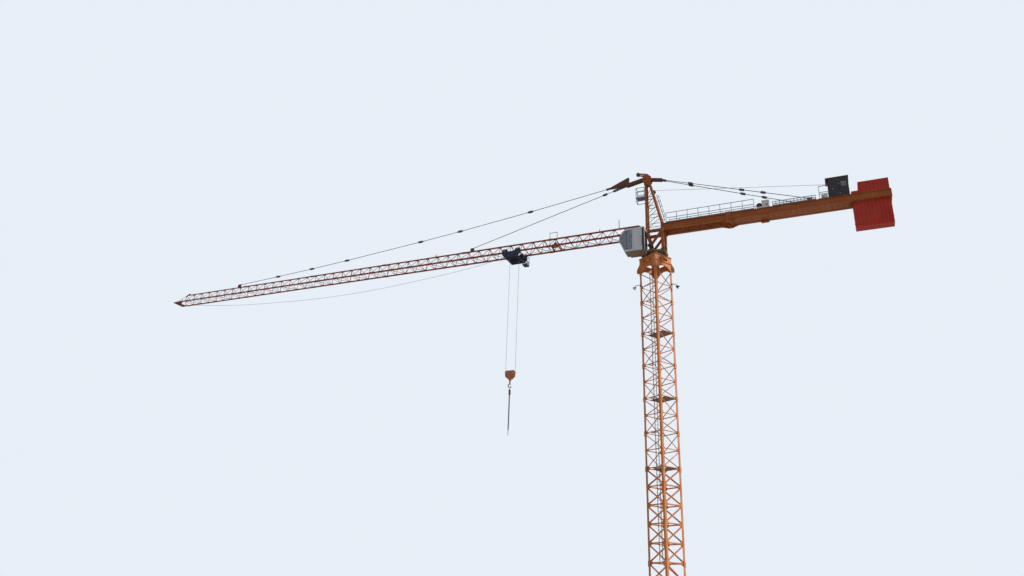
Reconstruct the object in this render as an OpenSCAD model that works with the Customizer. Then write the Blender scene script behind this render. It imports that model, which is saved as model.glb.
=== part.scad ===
// Tower crane with a trussed jib, as a 1:10 model. Lengths are millimetres of the model.
// +X runs along the jib, +Y points to the side of the driver's cab, +Z is up.
// The origin is on the axis of the mast, at the underside of the foundation frame.

/* [Foundation frame] */
// Length of a foundation beam from the mast axis to its foot
beam_reach = 250; // [210:5:300]
// Height of the foundation beams
beam_h = 40; // [30:1:60]
// Width of the foundation beams
beam_w = 40; // [32:1:50]
// Thickness of flanges and webs of the foundation beams
beam_t = 4; // [3:0.5:6]
// Width of a square foot plate
foot_w = 90; // [80:1:110]
// Thickness of a foot plate
foot_t = 6; // [4:0.5:10]
// Pitch circle diameter of the anchor holes in a foot plate
anchor_pcd = 84; // [80:1:100]
// Diameter of an anchor hole
anchor_d = 5; // [3:0.5:8]

/* [Mast] */
// Turn of the mast under the jib, in degrees
mast_turn = -32.1; // [-45:0.1:45]
// Outer width of the mast
mast_w = 206; // [190:1:220]
// Width of a leg angle
leg_w = 20; // [16:1:24]
// Thickness of a leg angle
leg_t = 3; // [2:0.5:5]
// Diameter of the light bracing
brace_d = 8; // [6:0.5:10]
// Diameter of the heavy bracing of the lower mast
heavy_brace_d = 14; // [10:0.5:18]
// Height of a panel of the lower mast
panel_h = 150; // [120:5:180]
// Height of one light mast section
section_h = 300; // [240:10:360]
// Height of the section joints on the legs
joint_h = 22; // [14:1:30]
// Thickness of the section joints on the legs
joint_t = 3; // [2:0.5:4]
// Spacing of the ladder rungs
rung_pitch = 30; // [25:1:35]

/* [Slewing gear] */
// Height of the slewing support on the mast
support_h = 145; // [130:1:170]
// Outer diameter of the slewing ring
ring_d = 160; // [150:1:170]
// Height of each half of the slewing ring
ring_h = 20; // [14:1:26]
// Running gap between the halves of the slewing ring
ring_gap = 0.4; // [0.3:0.1:1]
// Thickness of the turntable
turntable_t = 25; // [18:1:35]
// Height of the slewing tower between turntable and jib level
tower_h = 200; // [180:5:240]
// Width of the slewing tower between the centres of its side frames
tower_w = 124; // [110:1:140]

/* [Jib] */
// Length of the jib along its bottom chords
jib_len = 5860; // [5400:10:6200]
// Width of the jib between its bottom chords
jib_w = 135; // [120:1:150]
// Height of the jib between bottom and top chords
jib_h = 105; // [95:1:120]
// Width of the square chords at the root of the jib
chord_w = 13; // [11:0.5:15]
// Diameter of the jib lacing
lace_d = 6; // [5:0.5:8]
// Width of the rail on which the trolley runs
rail_w = 12; // [10:0.5:16]
// Thickness of that rail
rail_t = 3; // [2:0.5:4]

/* [Counter-jib] */
// Length of the counter-jib behind the mast axis
counter_len = 2046; // [1900:1:2200]
// Distance between the centres of the two girders
girder_gap = 130; // [120:1:140]
// Height of a girder
girder_h = 65; // [55:1:80]
// Width of a girder's flanges
girder_w = 24; // [18:1:30]
// Number of counterweight slabs
slab_count = 10; // [8:1:11]
// Length of one slab along the counter-jib, with its gap
slab_pitch = 30; // [26:1:32]

/* [Cathead] */
// Height of the head pin above the bottom chords of the jib
head_h = 605; // [560:5:650]
// Width of a cathead leg
cat_leg_w = 24; // [18:1:30]
// Diameter of the pins in the ties and links
pin_d = 9; // [6:0.5:11]
// Diameter of the tie bars
tie_d = 6; // [5:0.5:8]

/* [Cab] */
// Length of the driver's cab
cab_len = 240; // [200:5:260]
// Width of the driver's cab
cab_w = 115; // [100:1:130]
// Height of the driver's cab
cab_h = 235; // [210:1:260]
// Wall thickness of the driver's cab
cab_wall = 3; // [2:0.5:5]

/* [Trolley and hook] */
// Place of the trolley along the jib at rest
trolley_x = 1440; // [800:10:5000]
// Distance between the two falls of the hoist rope
fall_gap = 100; // [90:1:110]
// Diameter of the hoist rope
rope_d = 3; // [2:0.5:4]
// Radius of a rope sheave at the rope's centre line
sheave_r = 19; // [16:0.5:22]
// Radius of a trolley wheel
wheel_r = 10; // [8:0.5:12]
// Drop of the hook block's top below the bottom chords at rest
block_drop = 1230; // [400:10:2600]

/* [Hidden] */

// Gap between a piece and the seat that it lies on
seat = 0.3;
// Running gap between a bore and its axle
bearing_gap = 0.1;
light_sections = 5;
jib_sections = 6;
panels = 8;

// Levels of the mast, from the ground up
base_top = 3 * panel_h;
heavy_top = base_top + 5 * panel_h;
light_top = heavy_top + light_sections * section_h;
mast_top = light_top + section_h;
support_top = mast_top + support_h;
ring_split = support_top + ring_h;
turntable_z = ring_split + ring_gap + ring_h;
tower_z = turntable_z + turntable_t;

// Jib level: the centres of the bottom chords
jib_z = tower_z + tower_h;
jib_start = 80;
section_len = jib_len / jib_sections;
panel = section_len / panels;
jib_end = jib_start + jib_len;
chord_step = 0.7;
rail_top = rail_t / 2;
girder_top = 60;
girder_y = girder_gap / 2;

// Colours
orange = "darkorange";
red_orange = "orangered";
dark = "dimgray";
rope_colour = "gray";

function chord_at(i) = chord_w - chord_step * i;
function unit(v) = v / norm(v);

// Straight bar of few sides between two points
module bar(p, q, d, sides = 6) {
  v = q - p;
  translate(p)
    rotate([0, acos(v.z / norm(v)), atan2(v.y, v.x)])
      cylinder(h = norm(v), d = d, $fn = sides);
}

// Square bar between two points that lie in one plane of constant y
module flat_bar(p, q, w, t) {
  v = q - p;
  translate(p)
    rotate([0, -atan2(v.z, v.x), 0])
      translate([0, -t / 2, -w / 2])
        cube([norm(v), t, w]);
}

// Box given by its centre in x and y and by its lowest level
module block(x, y, z, size) {
  translate([x - size.x / 2, y - size.y / 2, z])
    cube(size);
}

// Round bar ends: points of an arc, and of the outline round two or more corners, counter-clockwise
function arc_points(c, r, a0, a1, n) = [for (k = [0:n]) c + r * [cos(a0 + (a1 - a0) * k / n), sin(a0 + (a1 - a0) * k / n)]];
function heading(v) = atan2(v.y, v.x);
function rounded_outline(corners, w) =
  let (n = len(corners))
    [for (i = [0:n - 1])
      let (
        a0 = heading(corners[i] - corners[(i + n - 1) % n]) - 90,
        a1 = heading(corners[(i + 1) % n] - corners[i]) - 90,
        turn = (a1 - a0 + 720) % 360)
      each arc_points(corners[i], w / 2, a0, a0 + turn, 6)];

// Plate in the XZ plane, centred on y, with a bore at each of the given points
module bored_plate(t, y, points, bore) {
  translate([0, y + t / 2, jib_z])
    rotate([90, 0, 0])
      linear_extrude(t)
        difference() {
          children();
          for (p = points)
            translate(p)
              circle(d = bore, $fn = 40);
        }
}

module link_plate(p, q, w, t, y, bore) {
  bored_plate(t, y, [p, q], bore)
    polygon(rounded_outline([p, q], w));
}

// Round bar along Y, centred on y
module cross_pin(x, z, d, len, y = 0) {
  translate([x, y + len / 2, z])
    rotate([90, 0, 0])
      cylinder(h = len, d = d, $fn = 32);
}

// Foundation frame: two crossed I-beams on four foot plates with anchor holes
module foundation_beam() {
  len = 2 * beam_reach;
  block(0, 0, 0, [len, beam_w, beam_t]);
  block(0, 0, beam_h - beam_t, [len, beam_w, beam_t]);
  block(0, 0, 0, [len, beam_t, beam_h]);
  for (x = [-1, 1] * (mast_w - leg_w) / sqrt(2))
    for (dx = [-1, 1] * leg_w / 2)
      block(x + dx, 0, 0, [beam_t, beam_w, beam_h]);
}

module foot_plate() {
  difference() {
    block(0, 0, 0, [foot_w, foot_w, foot_t]);
    for (a = [45:90:315])
      rotate(a)
        translate([anchor_pcd / 2, 0, -1])
          cylinder(h = foot_t + 2, d = anchor_d, $fn = 32);
  }
}

module foundation_frame() {
  color(orange)
    rotate(mast_turn + 45)
      for (a = [0, 90])
        rotate(a) {
          foundation_beam();
          for (s = [-1, 1])
            translate([s * (beam_reach + foot_w / 2 - beam_t), 0, 0])
              foot_plate();
        }
}

// Distance of the bracing's centre plane from the mast axis
function brace_plane(d) = mast_w / 2 - leg_t - 0.38 * d;
brace_end = mast_w / 2 - leg_w / 2;

// The corners are numbered from the one nearest the cab side, counter-clockwise
module each_corner() {
  for (k = [0:3])
    rotate(mast_turn + 90 * k)
      children();
}

module leg_angle(z0, z1, t = leg_t, grow = 0) {
  w = mast_w / 2 + grow;
  translate([0, 0, z0])
    linear_extrude(z1 - z0)
      polygon([
        [-w, w], [-w + leg_w + grow, w], [-w + leg_w + grow, w - t - grow],
        [-w + t + grow, w - t - grow], [-w + t + grow, w - leg_w - grow], [-w, w - leg_w - grow]
      ]);
}

// One bar on a face, from the corner of that number at za to the next corner at zb
module face_bar(k, za, zb, d) {
  rotate(mast_turn + 90 * k)
    bar([-brace_plane(d), brace_end, za], [-brace_plane(d), -brace_end, zb], d);
}

module face_level(z, d) {
  for (k = [0:3])
    face_bar(k, z, z, d);
}

// Legs of one section with the thicker joints at both ends
module section_legs(z0, z1) {
  each_corner() {
    leg_angle(z0, z1);
    leg_angle(z0, z0 + joint_h, grow = joint_t);
    leg_angle(z1 - joint_h, z1, grow = joint_t);
  }
}

// Lower mast: one diagonal in each face of a panel
module braced_panels(z0, count, rises) {
  gap = heavy_brace_d / 2;
  for (i = [0:count - 1])
    for (k = [0:3]) {
      low = z0 + i * panel_h + 2 * gap;
      high = z0 + (i + 1) * panel_h - gap;
      face_bar(k, rises[k] > 0 ? low : high, rises[k] > 0 ? high : low, heavy_brace_d);
    }
  for (i = [0:count - 1])
    face_level(z0 + i * panel_h + gap, heavy_brace_d * 0.75);
}

module base_section() {
  color(orange) {
    section_legs(beam_h, base_top);
    each_corner()
      translate([-brace_end, brace_end, beam_h])
        linear_extrude(leg_t)
          square(leg_w + 2 * joint_t + 2, center = true);
    for (i = [1, 2])
      face_level(i * panel_h, heavy_brace_d * 0.75);
    for (i = [0:2])
      for (k = [0:3]) {
        low = max(i * panel_h, beam_h) + heavy_brace_d;
        high = (i + 1) * panel_h - heavy_brace_d / 2;
        rise = k == 1;
        face_bar(k, rise ? low : high, rise ? high : low, heavy_brace_d);
      }
  }
}

module heavy_section() {
  color(orange) {
    section_legs(base_top, heavy_top);
    braced_panels(base_top, 5, [1, 1, -1, -1]);
  }
}

// Light section: a level at each end and at mid-height, and one zigzag in each face
module light_section(z0, h, zigzags) {
  section_legs(z0, z0 + h);
  step = h / (2 * zigzags);
  for (i = [0:2 * zigzags - 1]) {
    low = z0 + i * step;
    level = low + brace_d;
    high = low + step - brace_d;
    face_level(level, brace_d);
    for (k = [0:3]) {
      up = i % 2 == 0;
      face_bar(k, up ? level : high, up ? high : level, brace_d);
    }
  }
}

module mast_section(i) {
  color(orange)
    light_section(heavy_top + i * section_h, section_h, 1);
}

module top_section() {
  color(orange)
    light_section(light_top, section_h, 1);
}

// Ladder inside the mast, held by arms from the levels of one face
ladder_x = 20;
ladder_y = 40;
ladder_w = 35;
rail_d = 4;
inner_face = brace_plane(brace_d) - brace_d / 2 * cos(30) - seat;
module mast_ladder() {
  z0 = base_top + seat;
  z1 = mast_top - seat;
  for (s = [-1, 1])
    block(ladder_x + s * ladder_w / 2, ladder_y, z0, [rail_d, rail_d, z1 - z0]);
  for (z = [z0 + rung_pitch / 2:rung_pitch:z1 - rung_pitch / 2])
    bar([ladder_x - ladder_w / 2, ladder_y, z], [ladder_x + ladder_w / 2, ladder_y, z], rail_d * 0.7, 4);
  for (i = [0:light_sections], s = [-1, 1])
    translate([ladder_x + s * ladder_w / 2 - rail_d / 2, ladder_y, heavy_top + i * section_h + brace_d / 2])
      cube([rail_d, inner_face - ladder_y, brace_d]);
}

// Half floors in the mast beside the ladder, held between the levels of the sections
platform_t = 3;
module rest_platforms() {
  corner = mast_w / 2 - leg_w - joint_t - seat;
  front = ladder_y - 2 * rail_d;
  for (i = [0, 2, 4])
    translate([0, 0, heavy_top + i * section_h + brace_d - platform_t / 2])
      linear_extrude(platform_t)
        union() {
          translate([-inner_face, -corner])
            square([2 * inner_face, corner + front]);
          translate([-corner, -inner_face])
            square([2 * corner, inner_face + front]);
        }
}

module mast_access() {
  color("silver")
    rotate(mast_turn) {
      mast_ladder();
      rest_platforms();
    }
}

// Slewing support: four webs with arched lower edges between corner angles
arch_rise = 42;
rib_w = 8;
module support_side() {
  half = mast_w / 2;
  reach = half - leg_w;
  arch_r = (reach * reach + arch_rise * arch_rise) / (2 * arch_rise);
  arch_z = arch_rise - arch_r;
  translate([-half, 0, mast_top])
    rotate([90, 0, 90]) {
      linear_extrude(leg_t)
        difference() {
          translate([-half, 0])
            square([2 * half, support_h]);
          translate([0, arch_z])
            circle(r = arch_r, $fn = 96);
          for (s = [-1, 1])
            translate([s * 38, support_h * 0.76])
              circle(d = 30, $fn = 40);
          translate([-38, support_h * 0.76 - 15])
            square([76, 30]);
        }
      translate([0, 0, -rib_w])
        linear_extrude(rib_w + leg_t)
          difference() {
            translate([0, arch_z])
              circle(r = arch_r + 4, $fn = 96);
            translate([0, arch_z])
              circle(r = arch_r, $fn = 96);
            translate([-2 * arch_r, -4 * arch_r])
              square([4 * arch_r, 4 * arch_r]);
          }
      for (z = [support_h * 0.54, support_h - 4])
        translate([-half, z, -rib_w])
          cube([2 * half, 4, rib_w]);
    }
}

module corner_lug() {
  r = mast_w / sqrt(2);
  rotate([90, 0, 0])
    linear_extrude(10, center = true)
      polygon([
        [r - leg_t, mast_top], [r + 26, mast_top], [r + 26, mast_top + 34],
        [r + 6, mast_top + 74], [r - leg_t, mast_top + 74]
      ]);
}

module slewing_support() {
  color(orange) {
    each_corner() {
      support_side();
      leg_angle(mast_top, support_top);
      rotate(135)
        corner_lug();
    }
    difference() {
      rotate(mast_turn)
        block(0, 0, support_top - 6, [mast_w, mast_w, 6]);
      translate([0, 0, support_top - 7])
        cylinder(h = 8, d = ring_d - 50, $fn = 96);
    }
  }
}

module ring_half(z) {
  difference() {
    translate([0, 0, z])
      cylinder(h = ring_h, d = ring_d, $fn = 96);
    translate([0, 0, z - 1])
      cylinder(h = ring_h + 2, d = ring_d - 40, $fn = 96);
  }
}

module slewing_ring() {
  color(dark)
    ring_half(support_top);
}

// Two floodlights on arms outside the mast's top section
lamp_z = 120;
module floodlight(k, arm) {
  rotate(mast_turn + 135 + 90 * k) {
    translate([mast_w / sqrt(2) + seat, 0, mast_top - lamp_z]) {
      translate([0, -3, 0])
        cube([arm, 6, 5]);
      translate([arm, 0, -14])
        cylinder(h = 20, d = 7, $fn = 24);
      translate([arm, 0, -14])
        rotate([0, 130, 0])
          cylinder(h = 26, d1 = 14, d2 = 34, $fn = 40);
    }
  }
}

module floodlights() {
  color("silver") {
    floodlight(1, 36);
    floodlight(3, 40);
  }
}

// Turntable on the upper half of the ring, with a round well and a console beside the cab
table_front = 130;
table_back = 110;
table_w = 140;
console_y = 30;
module turntable() {
  color(dark) {
    ring_half(ring_split + ring_gap);
    difference() {
      union() {
        translate([-table_back, -table_w / 2, turntable_z])
          cube([table_front + table_back, table_w, turntable_t]);
        translate([0, 0, turntable_z])
          cylinder(h = turntable_t, d = ring_d, $fn = 96);
        translate([-18, table_w / 2 - 1, turntable_z])
          cube([58, console_y, turntable_t]);
      }
      translate([0, 0, turntable_z - 1])
        cylinder(h = turntable_t + 2, d = ring_d - 60, $fn = 96);
    }
  }
}

// Slewing motors stand on the turntable, a cable drum on its console
module slewing_motors() {
  drum_x = 14;
  drum_y = tower_w / 2 + strut_w / 2 + 12;
  color(dark) {
    for (s = [-1, 1])
      translate([106, s * 46, tower_z]) {
        cylinder(h = 8, d = 44, $fn = 40);
        cylinder(h = 44, d = 32, $fn = 40);
        cylinder(h = 84, d = 24, $fn = 40);
      }
    cross_pin(drum_x, tower_z + 25, 40, 20, drum_y);
    cross_pin(drum_x, tower_z + 25, 12, 23, drum_y);
    block(drum_x, drum_y, tower_z, [30, 14, 12]);
  }
}

// Slewing tower: two side frames with V struts, joined by cross beams
column_x = -92;
front_x = 60;
strut_w = 24;
module side_frame(y) {
  knot = [22, y, jib_z - 150];
  block(column_x, y, tower_z, [strut_w, strut_w, tower_h + girder_top + 6]);
  translate([column_x, y - strut_w / 2, jib_z - strut_w / 2])
    cube([front_x - column_x + strut_w / 2, strut_w, strut_w]);
  flat_bar([front_x, y, jib_z], knot, strut_w * 0.8, strut_w * 0.8);
  flat_bar([column_x, y, jib_z], knot, strut_w * 0.8, strut_w * 0.8);
  block(knot.x, y, tower_z, [strut_w, strut_w, knot.z - tower_z + strut_w / 2]);
}

module slewing_tower() {
  color(orange) {
    for (s = [-1, 1])
      side_frame(s * tower_w / 2);
    block(front_x, 0, jib_z - strut_w / 2, [strut_w, tower_w, strut_w]);
    for (s = [-1, 1])
      translate([front_x + strut_w / 2 - 1, s * jib_w / 2 - 5, jib_z - strut_w / 2])
        cube([jib_start - front_x - strut_w / 2 + 1, 10, strut_w]);
    block(column_x, 0, jib_z + girder_top + 6 - strut_w, [strut_w, tower_w, strut_w]);
    block(column_x, 0, tower_z + 60, [strut_w, tower_w, strut_w * 0.7]);
  }
}

// Cathead: upright front legs and leaning rear legs, laced together
cat_y_low = 36;
cat_y_high = 22;
cat_top = head_h - 75;
rear_top_x = 20;
lace_low = 90;
lace_pitch = (cat_top - lace_low - 40) / 4;
function front_leg(s, z) = [front_x, s * (cat_y_low + (cat_y_high - cat_y_low) * z / cat_top), jib_z + z];
function rear_leg(s, z) =
  let (u = (z - girder_top) / (cat_top - girder_top))
    [column_x + (rear_top_x - column_x) * u, s * (cat_y_low + (cat_y_high - cat_y_low) * u), jib_z + z];

module cathead() {
  foot = strut_w / 2;
  rear_foot = girder_top + 6;
  function level(i) = lace_low + 40 + i * lace_pitch;
  color(orange) {
    for (s = [-1, 1]) {
      bar(front_leg(s, foot + 10), front_leg(s, cat_top), cat_leg_w, 8);
      block(front_x, s * cat_y_low, jib_z + foot, [strut_w, strut_w, 14]);
      bar(rear_leg(s, rear_foot + 8), rear_leg(s, cat_top), cat_leg_w, 8);
      block(column_x + 3, s * cat_y_low, jib_z + rear_foot, [strut_w + 4, strut_w, 14]);
      for (i = [0:3]) {
        za = lace_low + i * lace_pitch;
        bar(front_leg(s, za), rear_leg(s, za), lace_d);
        bar(front_leg(s, za), rear_leg(s, za + 0.9 * lace_pitch), lace_d);
      }
    }
    for (i = [0:3])
      bar(front_leg(-1, level(i)), front_leg(1, level(i)), lace_d);
    for (i = [0:2])
      bar(rear_leg(-1, level(i)), rear_leg(1, level(i)), lace_d);
    cross_pin(head_sheave_x, jib_z + head_sheave_z, axle_d, 2 * cat_y_high);
    translate([15, -cat_y_high - cat_leg_w / 2, jib_z + cat_top])
      cube([60, 2 * cat_y_high + cat_leg_w, 6]);
  }
}

// Pins of the head: front link, rear link, lever and erection pulley
head_pin = [72, head_h];
rear_pin = [20, head_h - 14];
link_end = [245, head_h - 35];
lever_top = [240, head_h + 40];
lever_end = [412, head_h - 33];
rear_link_end = [-92, head_h - 38];
pulley_pin = [136, head_h + 66];
bore_d = pin_d + 2 * seat;
plate_y = 20;
plate_t = 6;

module apex_head() {
  low = cat_top + 6;
  color(red_orange)
    for (s = [-1, 1])
      bored_plate(plate_t, s * plate_y, [head_pin, rear_pin, pulley_pin], bore_d) {
        union() {
          polygon([[18, low], [74, low], [90, head_h - 20], [88, head_h + 16], [40, head_h + 46],
            [6, head_h + 10], [2, head_h - 30]]);
          polygon([[30, head_h + 20], [128, head_h + 58], [144, head_h + 74], [40, head_h + 46]]);
          translate(pulley_pin)
            circle(d = 24, $fn = 40);
        }
      }
}

module apex_pulley() {
  color(dark)
    difference() {
      cross_pin(pulley_pin.x, jib_z + pulley_pin.y, 40, 16);
      cross_pin(pulley_pin.x, jib_z + pulley_pin.y, bore_d, 18);
    }
}

// Front links, lever and rear links between the head and the ties, with their pins
module pin_at(p, len) {
  cross_pin(p.x, jib_z + p.y, pin_d, len);
}

module head_links() {
  inner = plate_y - plate_t - seat;
  span = 2 * plate_y + plate_t + 6;
  color(red_orange) {
    for (s = [-1, 1]) {
      link_plate(head_pin, link_end, 34, plate_t, s * inner, bore_d);
      link_plate(rear_pin, rear_link_end, 26, plate_t, s * inner, bore_d);
    }
    bored_plate(plate_t, 0, [lever_top, lever_end, link_end], bore_d)
      polygon(rounded_outline([lever_top, link_end, lever_end], 26));
  }
  color(dark) {
    for (p = [head_pin, rear_pin, pulley_pin])
      pin_at(p, span);
    for (p = [link_end, rear_link_end])
      pin_at(p, span - 2 * plate_t);
    pin_at(lever_top, 3 * plate_t);
    pin_at(lever_end, 4 * plate_t);
  }
}

// Railed platform in front of the cathead
head_floor = 395;
module head_platform() {
  x0 = front_x + cat_leg_w / 2 + seat;
  x1 = x0 + 86;
  y = 34;
  z = jib_z + head_floor;
  translate([x0, -y, z])
    cube([x1 - x0, 2 * y, 3]);
  for (s = [-1, 1]) {
    for (x = [x0 + 2, x1 - 2])
      block(x, s * (y - 2), z - 40, [4, 4, 150]);
    for (h = [-40, 60, 106])
      translate([x0, s * (y - 2) - 2, z + h])
        cube([x1 - x0, 4, 4]);
  }
  for (h = [-40, 60, 106])
    translate([x1 - 4, -y, z + h])
      cube([4, 2 * y, 4]);
}

// Caged ladder behind the rear legs
hoop_pitch = 55;
module head_ladder() {
  z0 = 120;
  z1 = 400;
  count = 9;
  half = ladder_w / 2;
  stand_off = 30;
  function rail(s, z) = [rear_leg(0, z).x - stand_off, s * half, jib_z + z];
  function rung_z(i) = z0 + (z1 - z0) * (i + 0.5) / (count + 1);
  for (s = [-1, 1])
    bar(rail(s, z0), rail(s, z1), rail_d, 4);
  for (i = [0:count])
    bar(rail(-1, rung_z(i)), rail(1, rung_z(i)), rail_d * 0.7, 4);
  for (s = [-1, 1], arm = [[130, lace_d / 2 + seat], [330, cat_leg_w * 0.4]])
    bar(rail(s, arm[0]), rail(s, arm[0]) + [stand_off - arm[1], 0, 0], rail_d, 4);
  for (i = [1:5])
    translate(rail(0, z0 + hoop_pitch * i))
      rotate([0, 0, 90])
        rotate_extrude(angle = 180, $fn = 48)
          translate([half - 1, -1.5])
            square([3, 3]);
  bar(rail(0, z0 + hoop_pitch) + [-half, 0, 0], rail(0, z0 + 5 * hoop_pitch) + [-half, 0, 0], rail_d * 0.8, 4);
}

module head_access() {
  color("slategray") {
    head_platform();
    head_ladder();
  }
}

// Driver's cab: a hollow shell with a bent front, open where the windows are
cab_x = 50;
cab_y = 78;
cab_top = jib_z - 10;
cab_floor = cab_top - cab_h;
nose = 60;
function cab_outline(d) = [
  [d, d], [cab_len - nose + 8 - d * 0.6, d], [cab_len - d, cab_h * 0.5],
  [cab_len - d, cab_h * 0.68], [cab_len - nose - d * 0.4, cab_h - d], [d, cab_h - d]
];
window_low = 26;

module cab_prism(d, y0, y1) {
  translate([cab_x, y1, cab_floor])
    rotate([90, 0, 0])
      linear_extrude(y1 - y0)
        polygon(cab_outline(d));
}

// Side window and front window as cutting bodies, smaller by g all round
module cab_windows(g) {
  x0 = cab_x + cab_len * 0.5 + g;
  for (side = [[cab_y - 1, cab_y + cab_wall + 1], [cab_y + cab_w - cab_wall - 1, cab_y + cab_w + 1]])
    translate([0, side[1], cab_floor])
      rotate([90, 0, 0])
        linear_extrude(side[1] - side[0])
          intersection() {
            translate([x0, window_low + g])
              square([cab_len, cab_h - 2 * g - window_low - 16]);
            translate([cab_x, 0])
              polygon(cab_outline(12 + g));
          }
  translate([cab_x + cab_len - nose - 4, cab_y + 10 + g, cab_floor + window_low + g])
    cube([nose + 10, cab_w - 20 - 2 * g, cab_h - window_low - 16 - 2 * g]);
}

module cab_shell() {
  color("whitesmoke")
    difference() {
      cab_prism(0, cab_y, cab_y + cab_w);
      cab_prism(cab_wall, cab_y + cab_wall, cab_y + cab_w - cab_wall);
      cab_windows(0);
    }
}

module cab_glazing() {
  color("slategray")
    intersection() {
      difference() {
        cab_prism(0.6, cab_y + 0.6, cab_y + cab_w - 0.6);
        cab_prism(cab_wall - 0.6, cab_y + cab_wall - 0.6, cab_y + cab_w - cab_wall + 0.6);
      }
      cab_windows(seat);
    }
}

// Platform under the cab, hung from the side of the turntable
module cab_platform() {
  t = 8;
  z = cab_floor - seat - t;
  y0 = table_w / 2 + seat;
  color("slategray") {
    translate([cab_x + 8, y0, z])
      cube([150, cab_y + cab_w - y0, t]);
    for (x = [cab_x + 8, table_front - 14])
      translate([x, y0, z])
        cube([12, cab_y - y0 - 2, tower_z - z]);
  }
}

// Jib: triangular lattice sections, one top chord and two bottom chords with trolley rails
function bottom_node(x, s) = [x, s * jib_w / 2, jib_z];
function top_node(x) = [x, 0, jib_z + jib_h];

module jib_chord(x0, x1, y, z, w) {
  translate([x0, y - w / 2, z - w / 2])
    cube([x1 - x0, w, w]);
}

module jib_section(i) {
  w = chord_at(i);
  x0 = jib_start + i * section_len;
  x1 = x0 + section_len;
  top0 = i == 0 ? x0 + panel / 2 : x0;
  top1 = i == jib_sections - 1 ? x1 - panel / 2 : x1;
  d = lace_d - 0.3 * i;
  lug = 24;
  color(red_orange) {
    jib_chord(top0, top1, 0, jib_z + jib_h, w);
    for (s = [-1, 1]) {
      jib_chord(x0, x1, s * jib_w / 2, jib_z, w);
      translate([x0, s > 0 ? jib_w / 2 : -jib_w / 2 - w / 2 - rail_w, jib_z - rail_t / 2])
        cube([section_len, w / 2 + rail_w, rail_t]);
      for (j = [0:panels - 1]) {
        x = x0 + j * panel;
        bar(bottom_node(x + 4, s), top_node(x + panel / 2), d);
        bar(top_node(x + panel / 2), bottom_node(x + panel - 4, s), d);
      }
    }
    for (j = [0:panels - 1]) {
      x = x0 + j * panel;
      if (i > 0 || j > 0)
        bar(bottom_node(x + 4, -1), bottom_node(x + 4, 1), d);
      odd = j % 2 == 0 ? 1 : -1;
      bar(bottom_node(x + 4, -odd), bottom_node(x + panel - 4, odd), d);
    }
    if (i == 0)
      root_axle();
    for (x = [i == 0 ? x1 : x0, i == jib_sections - 1 ? x0 : x1]) {
      side = x == x0 ? 0 : -lug;
      translate([x + side, -w / 2 - 2, jib_z + jib_h - w / 2 - 2])
        cube([lug, w + 4, w + 4]);
      for (s = [-1, 1])
        translate([x + side, s * jib_w / 2 - w / 2, jib_z - w / 2 - 4])
          cube([lug, w, w / 2 + 4]);
    }
  }
}

// Tip frame with the rope pulley
tip_len = 60;
module jib_tip() {
  w = chord_at(jib_sections - 1);
  x = jib_end + tip_len / 2;
  color(red_orange) {
    for (s = [-1, 1]) {
      translate([jib_end, s * jib_w / 2 - w / 2, jib_z - w / 2])
        cube([tip_len, w, w]);
      translate([x - 6, s * 18 - 3, jib_z - 6])
        cube([12, 6, 44]);
    }
    for (dx = [0, tip_len - w])
      translate([jib_end + dx, -jib_w / 2, jib_z - w / 2])
        cube([w, jib_w, w]);
    translate([x - 6, -jib_w / 2, jib_z - w / 2])
      cube([12, jib_w, w]);
    cross_pin(x, jib_z + 26, 6, 42);
    bar([jib_end + w / 2, 0, jib_z], [jib_end + w / 2, 0, jib_z + 60], 8);
  }
  color(dark)
    difference() {
      cross_pin(x, jib_z + 26, 2 * sheave_r, 10);
      cross_pin(x, jib_z + 26, 5, 12);
    }
}

// Small things on the top chord: two posts, a lamp and a beacon at the end
lamp_x = 2362;
module jib_fittings() {
  function on_chord(x) = jib_z + jib_h + chord_at(floor((x - jib_start) / section_len)) / 2;
  color("whitesmoke") {
    for (p = [[340, 92], [538, 26]])
      block(p.x, 0, on_chord(p.x), [5, 5, p.y]);
    block(lamp_x, 0, on_chord(lamp_x), [10, 10, 8]);
    translate([lamp_x, 0, on_chord(lamp_x) + 8])
      cylinder(h = 14, d = 9, $fn = 24);
    block(jib_end - panel / 2 - 40, 0, on_chord(jib_end - panel), [22, 14, 12]);
  }
}

// Winch that pulls the trolley, inside the jib, with a small platform and post
module trolley_winch() {
  x0 = jib_start + 7 * panel + 20;
  x1 = x0 + 1.6 * panel;
  z = jib_z + chord_w / 2;
  color("saddlebrown") {
    translate([x0, -jib_w / 2 - 4, z])
      cube([12, jib_w + 8, 8]);
    translate([x0 + 70, -jib_w / 2 - 4, z])
      cube([12, jib_w + 8, 8]);
    translate([x0 + 2, -18, z + 8])
      cube([76, 36, 26]);
    cross_pin(x0 + 40, z + 36, 26, 34);
  }
  color("whitesmoke") {
    translate([x0, jib_w / 2 - 2, z + 8])
      cube([4, 4, 130]);
    translate([x0 + 76, jib_w / 2 - 2, z + 8])
      cube([4, 4, 130]);
    translate([x0, jib_w / 2 - 2, z + 134])
      cube([80, 4, 4]);
  }
}

// Rope sheave with a groove and a bore, its axis along Y
module sheave(x, z, width = 9) {
  rim = sheave_r + 3;
  translate([x, 0, z])
    rotate([90, 0, 0])
      rotate_extrude($fn = 72)
        polygon([
          [axle_d / 2 + bearing_gap, -width / 2], [rim, -width / 2], [rim, -width / 2 + 1.5],
          [sheave_r - rope_d / 2, -rope_d / 2], [sheave_r - rope_d / 2, rope_d / 2],
          [rim, width / 2 - 1.5], [rim, width / 2], [axle_d / 2 + bearing_gap, width / 2]
        ]);
}

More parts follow.
